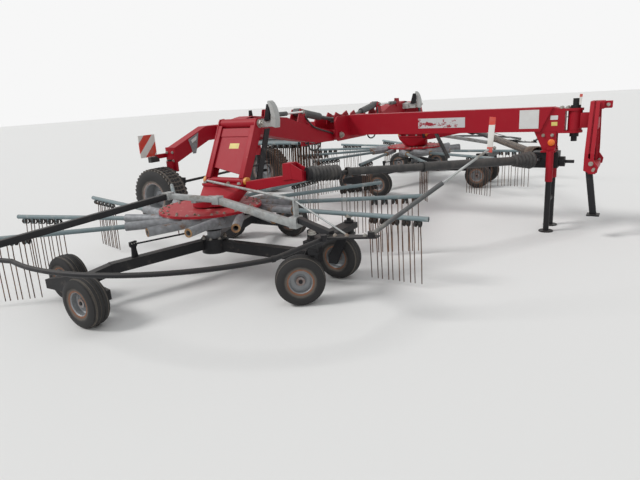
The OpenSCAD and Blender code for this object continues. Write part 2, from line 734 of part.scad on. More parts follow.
module cylinder_rod(side) {
    base = [0, cyl_base_y, cyl_base_z];
    color([0.75, 0.75, 0.76]) on_side(side) {
        bar(base + (cyl_len_barrel - rod_in) * cyl_unit, base + (cyl_len - 30) * cyl_unit, rod_d);
        rod_x(-36, 36, 70, cyl_eye_y, cyl_eye_z);
    }
}

shaft_a = [drive_x, drive_y, drive_z];
shaft_b = [input_x + 75, input_y, input_z];
shaft_len = norm(shaft_b - shaft_a);
shaft_unit = (shaft_b - shaft_a) / shaft_len;
// Turn about Z, then tilt, that lay a Z line along the shaft
shaft_turn = atan2(shaft_unit[1], shaft_unit[0]);
shaft_tilt = acos(shaft_unit[2]);
// Tilt of the cross's second pin, square to X and to the shaft
cross_tilt = atan2(shaft_unit[2], shaft_unit[1]);
slide_d = 72;

module drive_cross(side) {
    color([0.3, 0.3, 0.3]) on_side(side) translate(shaft_a) {
        rod_x(-ear_gap / 2 - yoke_t + 1, ear_gap / 2 + yoke_t - 1, cross_d);
        rotate([cross_tilt, 0, 0]) translate([0, 0, -yoke_gap / 2 - yoke_t + 1])
            cylinder(h = yoke_gap + 2 * yoke_t - 2, d = cross_d, $fn = 64);
    }
}

// Inner half of the drive shaft, with its yoke, drawn along the shaft's own line
module shaft_inner(side) {
    color([0.1, 0.1, 0.1]) on_side(side) {
        translate(shaft_a) rotate([cross_tilt, 0, 0]) for (d = [-1, 1])
            translate([0, 0, d * (yoke_gap + yoke_t) / 2]) difference() {
                hull() {
                    translate([0, 0, -yoke_t / 2]) cylinder(h = yoke_t, d = 40, $fn = 32);
                    rotate([0, 0, shaft_turn]) translate([60, -20, -yoke_t / 2]) cube([30, 40, yoke_t]);
                }
                translate([0, 0, -yoke_t]) cylinder(h = 2 * yoke_t, d = cross_d + 2 * run_gap, $fn = 64);
            }
        difference() {
            bar(shaft_a + 80 * shaft_unit, shaft_a + 1500 * shaft_unit, 90);
            bar(shaft_a + 220 * shaft_unit, shaft_a + 1510 * shaft_unit, slide_d + 0.6);
        }
        bar(shaft_a + 80 * shaft_unit, shaft_a + 110 * shaft_unit, 110);
    }
}

module shaft_outer(side) {
    color([0.1, 0.1, 0.1]) on_side(side)
        bar(shaft_a + 900 * shaft_unit, shaft_b - 50 * shaft_unit, slide_d);
}

main_beam();
pivot_frame();
rear_beam();
rear_axle();
gearbox_bracket();
centre_gearbox();
marker_boards();
headstock();
swivel_pin();
stand_legs();
track_rod();
knuckle(1);  // knuckle_left
knuckle(-1);  // knuckle_right
rear_wheel(1);  // rear_wheel_left
rear_wheel(-1);  // rear_wheel_right
boom(1);  // boom_left
boom(-1);  // boom_right
fork(1);  // fork_left
fork(-1);  // fork_right
rotor_gearbox(1);  // rotor_gearbox_left
rotor_gearbox(-1);  // rotor_gearbox_right
carriage(1);  // carriage_left
carriage(-1);  // carriage_right
rockers(1);  // rockers_left
rockers(-1);  // rockers_right
guard(1);  // guard_left
guard(-1);  // guard_right
rotor_head(1);  // rotor_head_left
rotor_head(-1);  // rotor_head_right
arm_bearings(1);  // arm_bearings_left
arm_bearings(-1);  // arm_bearings_right
tine_arms(1);  // tine_arms_left
tine_arms(-1);  // tine_arms_right
cylinder_barrel(1);  // cylinder_barrel_left
cylinder_barrel(-1);  // cylinder_barrel_right
cylinder_rod(1);  // cylinder_rod_left
cylinder_rod(-1);  // cylinder_rod_right
drive_cross(1);  // drive_cross_left
drive_cross(-1);  // drive_cross_right
shaft_inner(1);  // shaft_inner_left
shaft_inner(-1);  // shaft_inner_right
shaft_outer(1);  // shaft_outer_left
shaft_outer(-1);  // shaft_outer_right
caster(1, -1);  // caster_inner_left
caster(1, 1);  // caster_outer_left
caster(-1, -1);  // caster_inner_right
caster(-1, 1);  // caster_outer_right
caster_wheel(1, -1);  // wheel_caster_inner_left
caster_wheel(1, 1);  // wheel_caster_outer_left
caster_wheel(-1, -1);  // wheel_caster_inner_right
caster_wheel(-1, 1);  // wheel_caster_outer_right
rocker_wheel(1, -1, 1);  // wheel_rocker_inner_front_left
rocker_wheel(1, -1, -1);  // wheel_rocker_inner_rear_left
rocker_wheel(1, 1, 1);  // wheel_rocker_outer_front_left
rocker_wheel(1, 1, -1);  // wheel_rocker_outer_rear_left
rocker_wheel(-1, -1, 1);  // wheel_rocker_inner_front_right
rocker_wheel(-1, -1, -1);  // wheel_rocker_inner_rear_right
rocker_wheel(-1, 1, 1);  // wheel_rocker_outer_front_right
rocker_wheel(-1, 1, -1);  // wheel_rocker_outer_rear_right
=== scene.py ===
"""Looks of a twin rotor hay rake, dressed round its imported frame.

The frame is in metres: X points forward to the headstock, Y to the left, Z up.
Each class below dresses one sub-assembly. Sizes are fields of the classes.
"""

import json
import logging
import math
from contextlib import contextmanager
from dataclasses import dataclass
from enum import Enum
from typing import Callable, Iterator, Sequence

import bpy
from mathutils import Euler, Matrix, Vector


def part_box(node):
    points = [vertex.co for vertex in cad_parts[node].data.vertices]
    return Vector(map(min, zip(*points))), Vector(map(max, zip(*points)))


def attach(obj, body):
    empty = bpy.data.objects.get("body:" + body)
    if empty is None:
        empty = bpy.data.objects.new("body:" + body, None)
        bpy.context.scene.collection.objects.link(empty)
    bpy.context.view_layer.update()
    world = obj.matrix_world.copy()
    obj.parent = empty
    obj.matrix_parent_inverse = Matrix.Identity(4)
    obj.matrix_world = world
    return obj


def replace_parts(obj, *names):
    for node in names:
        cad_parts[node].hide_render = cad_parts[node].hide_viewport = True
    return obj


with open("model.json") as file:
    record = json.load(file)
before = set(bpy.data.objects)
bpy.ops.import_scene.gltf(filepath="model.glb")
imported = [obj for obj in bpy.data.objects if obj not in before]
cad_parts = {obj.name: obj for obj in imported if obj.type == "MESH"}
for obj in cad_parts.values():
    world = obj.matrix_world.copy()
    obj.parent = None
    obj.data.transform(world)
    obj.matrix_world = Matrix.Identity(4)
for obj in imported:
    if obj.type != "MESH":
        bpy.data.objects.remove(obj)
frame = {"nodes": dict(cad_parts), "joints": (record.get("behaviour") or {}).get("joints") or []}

LOG = logging.getLogger("rake")
Colour = tuple[float, float, float]
Point = Sequence[float]
Outline = Sequence[tuple[float, float]]
Places = tuple[tuple[float, float, float], ...]

ROTOR_X = -0.265
ROTOR_Y = 2.65
SIDES = {"left": 1, "right": -1}


# Shader graph


class Socket:
    """A value in a shader graph that takes part in plain arithmetic."""

    def __init__(self, graph: "Graph", socket: bpy.types.NodeSocket) -> None:
        """Wraps one output socket of a graph."""
        self.graph = graph
        self.socket = socket

    def _math(self, operation: str, *values: object) -> "Socket":
        """One Math node on the given values."""
        inputs = {index: value for index, value in enumerate(values)}
        return self.graph.node("ShaderNodeMath", {"operation": operation}, inputs)

    def __add__(self, other: object) -> "Socket":
        """self + other"""
        return self._math("ADD", self, other)

    __radd__ = __add__

    def __sub__(self, other: object) -> "Socket":
        """self - other"""
        return self._math("SUBTRACT", self, other)

    def __rsub__(self, other: object) -> "Socket":
        """other - self"""
        return self._math("SUBTRACT", other, self)

    def __mul__(self, other: object) -> "Socket":
        """self * other"""
        return self._math("MULTIPLY", self, other)

    __rmul__ = __mul__

    def __truediv__(self, other: object) -> "Socket":
        """self / other"""
        return self._math("DIVIDE", self, other)

    def above(self, limit: float) -> "Socket":
        """1 where the value is above the limit, else 0."""
        return self._math("GREATER_THAN", self, limit)

    def wrapped(self) -> "Socket":
        """The fraction of the value."""
        return self._math("FRACT", self)

    def clamped(self) -> "Socket":
        """The value held between 0 and 1."""
        return self.graph.node("ShaderNodeClamp", {}, {"Value": self})


class Graph:
    """Node graph of one material."""

    def __init__(self, name: str) -> None:
        """Makes an empty material of that name."""
        self.material = bpy.data.materials.new(name)
        self.material.use_nodes = True
        self.tree = self.material.node_tree
        self.tree.nodes.clear()

    def node(self, kind: str, settings: dict, inputs: dict, output: int | str = 0) -> Socket:
        """Adds a node of any kind.

        Args:
            kind: The node's type name.
            settings: Attributes that are set first.
            inputs: Values, colours or sockets, by the input's name or index.
            output: The output that is returned.

        Returns:
            The chosen output, ready for arithmetic.
        """
        made = self.tree.nodes.new(kind)
        for name, value in settings.items():
            setattr(made, name, value)
        for name, value in inputs.items():
            target = made.inputs[name]
            if isinstance(value, Socket):
                self.tree.links.new(value.socket, target)
            elif isinstance(value, (tuple, list)) and target.type == "RGBA":
                target.default_value = (*value[:3], 1.0)
            else:
                target.default_value = value
        return Socket(self, made.outputs[output])

    def place(self) -> Socket:
        """Object coordinates."""
        return self.node("ShaderNodeTexCoord", {}, {}, "Object")

    def attribute(self, name: str) -> Socket:
        """A number stored on the mesh."""
        return self.node("ShaderNodeAttribute", {"attribute_name": name}, {}, "Fac")

    def stretched(self, scale: Point) -> Socket:
        """Object coordinates, scaled."""
        return self.node("ShaderNodeMapping", {}, {"Vector": self.place(), "Scale": scale})

    def noise(self, scale: float, detail: float, rough: float, vector: Socket | None = None) -> Socket:
        """Fractal noise between 0 and 1."""
        inputs = {"Vector": vector or self.place(), "Scale": scale, "Detail": detail, "Roughness": rough}
        return self.node("ShaderNodeTexNoise", {}, inputs)

    def band(self, value: Socket, low: float, high: float) -> Socket:
        """Smooth step of a value, from 0 at low to 1 at high."""
        settings = {"interpolation_type": "SMOOTHSTEP"}
        return self.node("ShaderNodeMapRange", settings, {"Value": value, "From Min": low, "From Max": high})

    def mix(self, factor: Socket | float, first: object, second: object) -> Socket:
        """Blends two colours."""
        settings = {"data_type": "RGBA", "clamp_factor": True}
        inputs = {0: factor, 6: first, 7: second}
        return self.node("ShaderNodeMix", settings, inputs, 2)

    def facing_up(self) -> Socket:
        """How far the surface faces up, from -1 to 1."""
        normal = self.node("ShaderNodeNewGeometry", {}, {}, "Normal")
        return self.node("ShaderNodeSeparateXYZ", {}, {"Vector": normal}, "Z")

    def bump(self, height: Socket, strength: float, distance: float) -> Socket:
        """A bumped normal."""
        return self.node("ShaderNodeBump", {}, {"Height": height, "Strength": strength, "Distance": distance})

    def finish(self, inputs: dict) -> bpy.types.Material:
        """Closes the graph with a Principled shader.

        Args:
            inputs: Inputs of the Principled shader.

        Returns:
            The finished material.
        """
        shader = self.node("ShaderNodeBsdfPrincipled", {}, inputs)
        out = self.tree.nodes.new("ShaderNodeOutputMaterial")
        self.tree.links.new(shader.socket, out.inputs["Surface"])
        return self.material


# Finishes


@dataclass(frozen=True)
class Paint:
    """Sprayed steel with worn patches, chips and dust on its upper faces."""

    name: str
    colour: Colour
    worn: Colour
    bare: Colour = (0.10, 0.05, 0.03)
    dust: Colour = (0.42, 0.36, 0.30)
    wear: float = 0.25
    chips: float = 0.12
    dusty: float = 0.35
    roughness: float = 0.42

    def build(self) -> bpy.types.Material:
        """Returns the material."""
        g = Graph(self.name)
        cloud = g.noise(2.6, 5, 0.6)
        blotch = g.noise(9.0, 6, 0.65)
        fine = g.noise(60.0, 3, 0.6)
        speck = g.noise(140.0, 2, 0.5)
        tone = g.mix(cloud * 0.55, self.colour, tuple(c * 0.62 for c in self.colour))
        worn_mask = g.band(blotch + cloud * 0.5, 0.98 - self.wear * 0.6, 1.12 - self.wear * 0.4)
        tone = g.mix(worn_mask * 0.7, tone, self.worn)
        chip_mask = g.band(fine * 0.6 + blotch * 0.5, 0.80 - self.chips * 0.6, 0.83 - self.chips * 0.6)
        tone = g.mix(chip_mask * 0.9, tone, self.bare)
        up = g.band(g.facing_up(), 0.2, 1.0)
        dust_mask = (up * (blotch * 0.8 + 0.2) + g.band(blotch, 0.45, 0.8) * 0.25) * self.dusty
        tone = g.mix(dust_mask, tone, self.dust)
        rough = (fine * 0.18 + self.roughness + dust_mask * 0.5 + chip_mask * 0.25).clamped()
        height = speck * 0.4 - chip_mask * 0.8 + cloud * 0.3
        normal = g.bump(height, 0.25, 0.002)
        shine = {"Roughness": rough, "Normal": normal, "Specular IOR Level": 0.28}
        return g.finish({"Base Color": tone, **shine})


@dataclass(frozen=True)
class Metal:
    """Bare, cast or galvanised metal with stains."""

    name: str
    colour: Colour
    dark: Colour
    stain: Colour
    stained: float = 0.3
    metallic: float = 0.8
    roughness: float = 0.4
    grain: float = 24.0

    def build(self) -> bpy.types.Material:
        """Returns the material."""
        g = Graph(self.name)
        cells = g.node("ShaderNodeTexVoronoi", {}, {"Vector": g.place(), "Scale": self.grain}, "Distance")
        cloud = g.noise(7.0, 6, 0.62)
        fine = g.noise(90.0, 4, 0.6)
        tone = g.mix(cells * 0.9, self.colour, self.dark)
        stain_mask = g.band(cloud + fine * 0.3, 0.78 - self.stained * 0.6, 0.92 - self.stained * 0.35)
        tone = g.mix(stain_mask * 0.85, tone, self.stain)
        rough = (fine * 0.22 + self.roughness + stain_mask * 0.35).clamped()
        metal = (1 - stain_mask * 0.85) * self.metallic
        normal = g.bump(fine * 0.6 + cloud * 0.4, 0.3, 0.0015)
        return g.finish({"Base Color": tone, "Roughness": rough, "Metallic": metal, "Normal": normal})


@dataclass(frozen=True)
class Rubber:
    """Black rubber with pale dust and mud in its low places."""

    name: str
    colour: Colour = (0.018, 0.018, 0.019)
    dust: Colour = (0.30, 0.26, 0.22)
    dusty: float = 0.35

    def build(self) -> bpy.types.Material:
        """Returns the material."""
        g = Graph(self.name)
        low = g.attribute("low")
        cloud = g.noise(14.0, 6, 0.65)
        fine = g.noise(120.0, 4, 0.6)
        mask = g.band(cloud * 0.7 + low * 0.75, 0.42, 1.05) * self.dusty + fine * 0.05
        tone = g.mix(mask.clamped(), self.colour, self.dust)
        rough = (fine * 0.15 + 0.62 + mask * 0.3).clamped()
        normal = g.bump(fine + cloud * 0.5, 0.2, 0.0012)
        shine = {"Roughness": rough, "Normal": normal, "Specular IOR Level": 0.35}
        return g.finish({"Base Color": tone, **shine})


@dataclass(frozen=True)
class RimPaint:
    """Silver-grey rim paint with a rusty ring at the tyre's seat and dirt near the hub."""

    name: str
    colour: Colour = (0.34, 0.35, 0.36)
    rust: Colour = (0.22, 0.085, 0.035)

    def build(self) -> bpy.types.Material:
        """Returns the material."""
        g = Graph(self.name)
        ring = g.attribute("ring")
        cloud = g.noise(18.0, 5, 0.6)
        fine = g.noise(110.0, 4, 0.6)
        tone = g.mix(cloud * 0.6, self.colour, tuple(c * 0.55 for c in self.colour))
        mask = g.band(ring + cloud * 0.45 + fine * 0.15, 0.72, 1.05)
        tone = g.mix(mask * 0.9, tone, self.rust)
        rough = (fine * 0.2 + 0.42 + mask * 0.35).clamped()
        normal = g.bump(fine, 0.2, 0.001)
        metal = (1 - mask) * 0.35
        return g.finish({"Base Color": tone, "Roughness": rough, "Metallic": metal, "Normal": normal})


@dataclass(frozen=True)
class Plastic:
    """Moulded plastic, dull and dusty, or clear and coloured for a lens."""

    name: str
    colour: Colour
    dust: Colour = (0.40, 0.35, 0.30)
    dusty: float = 0.25
    roughness: float = 0.5

    def build(self) -> bpy.types.Material:
        """Returns the material."""
        g = Graph(self.name)
        cloud = g.noise(11.0, 5, 0.6)
        fine = g.noise(150.0, 3, 0.6)
        mask = g.band(cloud + g.facing_up() * 0.2, 0.35, 0.85) * self.dusty
        tone = g.mix(mask, g.mix(fine * 0.3, self.colour, tuple(c * 0.7 for c in self.colour)), self.dust)
        rough = (fine * 0.15 + self.roughness + mask * 0.4).clamped()
        normal = g.bump(fine, 0.12, 0.0008)
        return g.finish({"Base Color": tone, "Roughness": rough, "Normal": normal})


@dataclass(frozen=True)
class TornLabel:
    """What is left of a long blank label: pale film with red paint showing through."""

    name: str
    film: Colour = (0.56, 0.55, 0.55)
    paint: Colour = (0.30, 0.010, 0.024)

    def build(self) -> bpy.types.Material:
        """Returns the material."""
        g = Graph(self.name)
        tear = g.noise(5.0, 7, 0.7, g.stretched((1.0, 1.0, 2.2)))
        fine = g.noise(70.0, 3, 0.6)
        mask = g.band(tear + fine * 0.12, 0.615, 0.635)
        tone = g.mix(mask, self.film, self.paint)
        rough = (fine * 0.2 + 0.35 + mask * 0.1).clamped()
        return g.finish({"Base Color": tone, "Roughness": rough, "Normal": g.bump(1 - mask, 0.3, 0.001)})


@dataclass(frozen=True)
class Stripes:
    """Diagonal red and white stripes of a marker board, faded and dusty."""

    name: str
    red: Colour = (0.62, 0.05, 0.03)
    white: Colour = (0.72, 0.70, 0.66)
    pitch: float = 0.20

    def build(self) -> bpy.types.Material:
        """Returns the material."""
        g = Graph(self.name)
        split = g.tree.nodes.new("ShaderNodeSeparateXYZ")
        g.tree.links.new(g.place().socket, split.inputs[0])
        across, height = Socket(g, split.outputs["Y"]), Socket(g, split.outputs["Z"])
        side = g.node("ShaderNodeMath", {"operation": "ABSOLUTE"}, {0: across})
        wave = ((side + height) / (self.pitch * math.sqrt(2)) + 10.0).wrapped().above(0.5)
        cloud = g.noise(9.0, 5, 0.6)
        tone = g.mix(wave, self.white, self.red)
        tone = g.mix(g.band(cloud, 0.45, 0.8) * 0.45, tone, (0.30, 0.25, 0.21))
        rough = cloud * 0.3 + 0.25
        return g.finish({"Base Color": tone, "Roughness": rough, "Normal": g.bump(cloud, 0.1, 0.001)})


class Look(Enum):
    """The finishes of the machine."""

    RED = Paint(
        "cherry_red_paint", (0.375, 0.004, 0.016), (0.50, 0.07, 0.08), wear=0.06, chips=0.04, dusty=0.05
    )
    RED_WORN = Paint("worn_red_paint", (0.390, 0.008, 0.018), (0.74, 0.42, 0.38), wear=0.30, dusty=0.1)
    BLACK = Paint("black_frame_paint", (0.014, 0.014, 0.016), (0.07, 0.06, 0.055), wear=0.22, dusty=0.09)
    ARM = Paint("blue_grey_tube_paint", (0.20, 0.26, 0.275), (0.40, 0.41, 0.39), wear=0.35, dusty=0.2)
    HOOK = Paint("pale_grey_hook_paint", (0.52, 0.53, 0.51), (0.34, 0.33, 0.30), wear=0.3, dusty=0.2)
    RAM = Paint("dark_grey_cylinder_paint", (0.095, 0.098, 0.100), (0.24, 0.23, 0.21), wear=0.35, dusty=0.15)
    CAST = Metal(
        "grey_cast_bearings", (0.30, 0.31, 0.32), (0.17, 0.17, 0.18), (0.20, 0.10, 0.05), 0.10, 0.35, 0.5
    )
    BRASS = Metal(
        "brown_bearing_ends", (0.42, 0.27, 0.13), (0.24, 0.13, 0.07), (0.16, 0.07, 0.035), 0.4, 0.6, 0.42
    )
    GALVANISED = Metal(
        "galvanised_tube", (0.43, 0.44, 0.43), (0.28, 0.29, 0.29), (0.22, 0.19, 0.16), 0.25, 0.55, 0.38
    )
    BOLT = Metal(
        "zinc_bolts", (0.50, 0.49, 0.45), (0.32, 0.31, 0.29), (0.24, 0.13, 0.07), 0.35, 0.7, 0.4, 60.0
    )
    BRIGHT = Metal(
        "bright_rod", (0.78, 0.78, 0.77), (0.62, 0.62, 0.62), (0.30, 0.24, 0.18), 0.08, 1.0, 0.16, 60.0
    )
    RUST = Metal(
        "rusty_tine_wire", (0.105, 0.052, 0.034), (0.055, 0.030, 0.022), (0.21, 0.11, 0.06), 0.3, 0.2, 0.55,
        60.0,
    )
    COIL = Metal(
        "black_coil_wire", (0.030, 0.026, 0.024), (0.018, 0.016, 0.016), (0.11, 0.055, 0.03), 0.22, 0.2, 0.5,
        60.0,
    )
    TYRE = Rubber("ribbed_tyre_rubber")
    TREAD = Rubber("block_tread_rubber", dusty=0.45)
    RIM = RimPaint("silver_rim_paint")
    GUARD = Plastic("black_shaft_guard", (0.020, 0.020, 0.021), dusty=0.14)
    TAN = Plastic("sun_worn_shaft_guard", (0.26, 0.20, 0.15), dusty=0.4)
    HOSE = Plastic("black_hose", (0.016, 0.016, 0.017), dusty=0.12, roughness=0.42)
    LAMP = Plastic("black_lamp_box", (0.025, 0.025, 0.027), dusty=0.2)
    AMBER = Plastic("amber_cap", (0.80, 0.34, 0.05), dusty=0.3, roughness=0.35)
    ORANGE = Plastic("orange_reflector", (0.90, 0.20, 0.02), dusty=0.08, roughness=0.18)
    REDLENS = Plastic("red_lens", (0.45, 0.01, 0.01), dusty=0.08, roughness=0.2)
    LABEL = Plastic("pale_blank_label", (0.70, 0.70, 0.68), (0.50, 0.44, 0.40), 0.25, 0.4)
    YELLOW = Plastic("yellow_blank_label", (0.74, 0.60, 0.16), dusty=0.25, roughness=0.4)
    TORN = TornLabel("torn_blank_label")
    BOARD = Stripes("striped_board")

    def material(self) -> bpy.types.Material:
        """Returns this finish's material, built once."""
        found = bpy.data.materials.get(self.value.name)
        return found or self.value.build()


# Workshop


class Workshop:
    """Ways of making meshes with Blender's own tools."""

    @staticmethod
    def deselect() -> None:
        """Deselects every object."""
        for item in bpy.context.selected_objects:
            item.select_set(False)

    @classmethod
    def pick(cls, item: bpy.types.Object) -> None:
        """Makes one object the only selected and active one."""
        cls.deselect()
        item.select_set(True)
        bpy.context.view_layer.objects.active = item

    @classmethod
    @contextmanager
    def editing(cls, item: bpy.types.Object) -> Iterator[None]:
        """Opens the object in edit mode with all of it selected."""
        cls.pick(item)
        bpy.ops.object.mode_set(mode="EDIT")
        bpy.ops.mesh.select_all(action="SELECT")
        try:
            yield
        finally:
            bpy.ops.object.mode_set(mode="OBJECT")

    @classmethod
    def settle(cls, item: bpy.types.Object, name: str) -> bpy.types.Object:
        """Applies the object's place to its mesh and names it."""
        cls.pick(item)
        bpy.ops.object.transform_apply(location=True, rotation=True, scale=True)
        item.name = name
        item.data.name = name
        return item

    @classmethod
    def smooth(cls, item: bpy.types.Object, degrees: float = 35.0) -> bpy.types.Object:
        """Shades faces smooth where they meet under the given angle."""
        cls.pick(item)
        bpy.ops.object.shade_smooth_by_angle(angle=math.radians(degrees))
        return item

    @classmethod
    def lathe(cls, name: str, profile: Outline, steps: int = 48) -> bpy.types.Object:
        """Spins a closed profile about the Y axis.

        Args:
            name: The piece's name.
            profile: Points (radius, place along Y) of a closed outline.
            steps: Steps of the full turn.

        Returns:
            The spun piece, centred on the origin.
        """
        cls.deselect()
        bpy.ops.mesh.primitive_circle_add(vertices=len(profile), radius=1.0)
        item = bpy.context.object
        for vertex, (radius, along) in zip(item.data.vertices, profile):
            vertex.co = (radius, along, 0.0)
        with cls.editing(item):
            bpy.ops.mesh.spin(steps=steps, angle=2 * math.pi, center=(0, 0, 0), axis=(0, 1, 0))
            bpy.ops.mesh.select_all(action="SELECT")
            bpy.ops.mesh.remove_doubles(threshold=1e-5)
            bpy.ops.mesh.normals_make_consistent(inside=False)
        return cls.settle(item, name)

    @classmethod
    def tube(
        cls, name: str, points: Sequence[Point], radius: float, sides: int = 8, smooth: bool = True
    ) -> bpy.types.Object:
        """A round bar along points.

        Args:
            name: The piece's name.
            points: The centre line.
            radius: The bar's radius.
            sides: Rough number of sides.
            smooth: Whether the line bends smoothly through its points.

        Returns:
            The bar as a mesh.
        """
        curve = bpy.data.curves.new(name, "CURVE")
        curve.dimensions = "3D"
        curve.bevel_depth = radius
        curve.bevel_resolution = max(0, (sides - 4) // 2)
        curve.use_fill_caps = True
        curve.resolution_u = 6
        spline = curve.splines.new("BEZIER" if smooth else "POLY")
        if smooth:
            spline.bezier_points.add(len(points) - 1)
            for knot, point in zip(spline.bezier_points, points):
                knot.co = point
                knot.handle_left_type = knot.handle_right_type = "AUTO"
        else:
            spline.points.add(len(points) - 1)
            for knot, point in zip(spline.points, points):
                knot.co = (*point, 1.0)
        item = bpy.data.objects.new(name, curve)
        bpy.context.collection.objects.link(item)
        cls.pick(item)
        bpy.ops.object.convert(target="MESH")
        return cls.settle(bpy.context.object, name)

    @classmethod
    def block(cls, name: str, size: Point, centre: Point, bevel: float = 0.003) -> bpy.types.Object:
        """A box with bevelled edges."""
        cls.deselect()
        bpy.ops.mesh.primitive_cube_add(size=1.0, location=tuple(centre), scale=tuple(size))
        item = cls.settle(bpy.context.object, name)
        with cls.editing(item):
            bpy.ops.mesh.bevel(offset=bevel, segments=2, affect="EDGES")
        return item

    @classmethod
    def plate(cls, name: str, outline: Outline, thickness: float) -> bpy.types.Object:
        """A flat plate of any outline.

        Args:
            name: The piece's name.
            outline: Corners (y, z) in order.
            thickness: Its thickness, centred on x = 0.

        Returns:
            The plate, standing in the YZ plane.
        """
        cls.deselect()
        bpy.ops.mesh.primitive_circle_add(vertices=len(outline), radius=1.0, fill_type="NGON")
        item = bpy.context.object
        for vertex, (across, height) in zip(item.data.vertices, outline):
            vertex.co = (-thickness / 2, across, height)
        with cls.editing(item):
            bpy.ops.mesh.extrude_region_move(TRANSFORM_OT_translate={"value": (thickness, 0, 0)})
            bpy.ops.mesh.select_all(action="SELECT")
            bpy.ops.mesh.normals_make_consistent(inside=False)
        return cls.settle(item, name)

    @classmethod
    def bolt(cls, name: str = "bolt", size: float = 0.012) -> bpy.types.Object:
        """A hex bolt head on its washer, standing on the origin along Z; size is the thread's diameter."""
        cls.deselect()
        # Sides, and radius, depth and height as shares of the thread's diameter
        shapes = (
            ("washer", 20, 1.15, 0.22, 0.11),
            ("head", 6, 0.98, 0.7, 0.55),
            ("thread", 14, 0.5, 0.5, 1.0),
        )
        parts = []
        for part, sides, radius, depth, height in shapes:
            bpy.ops.mesh.primitive_cylinder_add(
                vertices=sides, radius=size * radius, depth=size * depth, location=(0, 0, size * height)
            )
            parts.append(cls.settle(bpy.context.object, part))
            if part == "head":
                with cls.editing(parts[-1]):
                    bpy.ops.mesh.bevel(offset=size * 0.06, segments=1, affect="EDGES")
        return cls.join(parts, name)

    @classmethod
    def copy(cls, source: bpy.types.Object, name: str, place: Matrix) -> bpy.types.Object:
        """A copy with its own mesh, moved by a matrix."""
        item = source.copy()
        item.data = source.data.copy()
        bpy.context.collection.objects.link(item)
        item.name = item.data.name = name
        item.data.transform(place)
        if place.to_3x3().determinant() < 0:
            item.data.flip_normals()
        return item

    @classmethod
    def join(cls, items: Sequence[bpy.types.Object], name: str) -> bpy.types.Object:
        """Joins several pieces into one."""
        cls.deselect()
        for item in items:
            item.select_set(True)
        bpy.context.view_layer.objects.active = items[0]
        if len(items) > 1:
            bpy.ops.object.join()
        return cls.settle(bpy.context.object, name)

    @staticmethod
    def paint(item: bpy.types.Object, look: Look) -> bpy.types.Object:
        """Gives the whole piece one finish."""
        item.data.materials.clear()
        item.data.materials.append(look.material())
        return item

    @classmethod
    def put(
        cls,
        pattern: bpy.types.Object,
        name: str,
        place: Matrix,
        look: Look,
        body: str,
        smooth: float | None = None,
    ) -> bpy.types.Object:
        """Copies a pattern to its place as a finished piece.

        Args:
            pattern: What is copied; it stays.
            name: The piece's name.
            place: Where it goes.
            look: Its finish.
            body: The body that it rides on.
            smooth: Angle in degrees under which faces are shaded smooth, if they are.

        Returns:
            The piece.
        """
        piece = cls.paint(cls.copy(pattern, name, place), look)
        if smooth is not None:
            cls.smooth(piece, smooth)
        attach(piece, body)
        return piece

    @staticmethod
    def mark(item: bpy.types.Object, name: str, value: Callable[[Vector], float]) -> None:
        """Stores a number on each vertex."""
        layer = item.data.attributes.new(name, "FLOAT", "POINT")
        for vertex in item.data.vertices:
            layer.data[vertex.index].value = value(vertex.co)

    @staticmethod
    def discard(*items: bpy.types.Object) -> None:
        """Removes patterns that were only copied."""
        for item in items:
            bpy.data.objects.remove(item, do_unlink=True)


def mirrored(side: str) -> Matrix:
    """Turns a place on the left side into the same place on a side."""
    return Matrix.Diagonal((1, SIDES[side], 1, 1))


def body_on(body: str, side: str) -> str:
    """The name of a side's body, or of a middle body as it is."""
    return body if body in ("frame", "headstock") else "%s_%s" % (body, side)


def nodes_named(*starts: str) -> list[bpy.types.Object]:
    """CAD nodes whose names start with any of the words."""
    return [item for name, item in frame["nodes"].items() if name.startswith(starts)]


# Stage and viewpoint


@dataclass
class Viewpoint:
    """The camera, at the height of a person beside the machine."""

    place: Point = (3.185, -6.25, 1.60)
    yaw: float = 32.0
    pitch: float = -15.4
    roll: float = -3.5
    lens: float = 29.25
    sensor: float = 36.0
    farthest: float = 200.0

    def build(self) -> None:
        """Adds the camera and makes it the scene's own."""
        Workshop.deselect()
        bpy.ops.object.camera_add(location=self.place)
        camera = bpy.context.object
        turn = Euler((math.radians(90 + self.pitch), 0, math.radians(self.yaw))).to_matrix()
        turn = turn @ Matrix.Rotation(math.radians(self.roll), 3, "Z")
        camera.rotation_euler = turn.to_euler()
        camera.data.lens = self.lens
        camera.data.sensor_width = self.sensor
        camera.data.clip_end = self.farthest
        bpy.context.scene.camera = camera


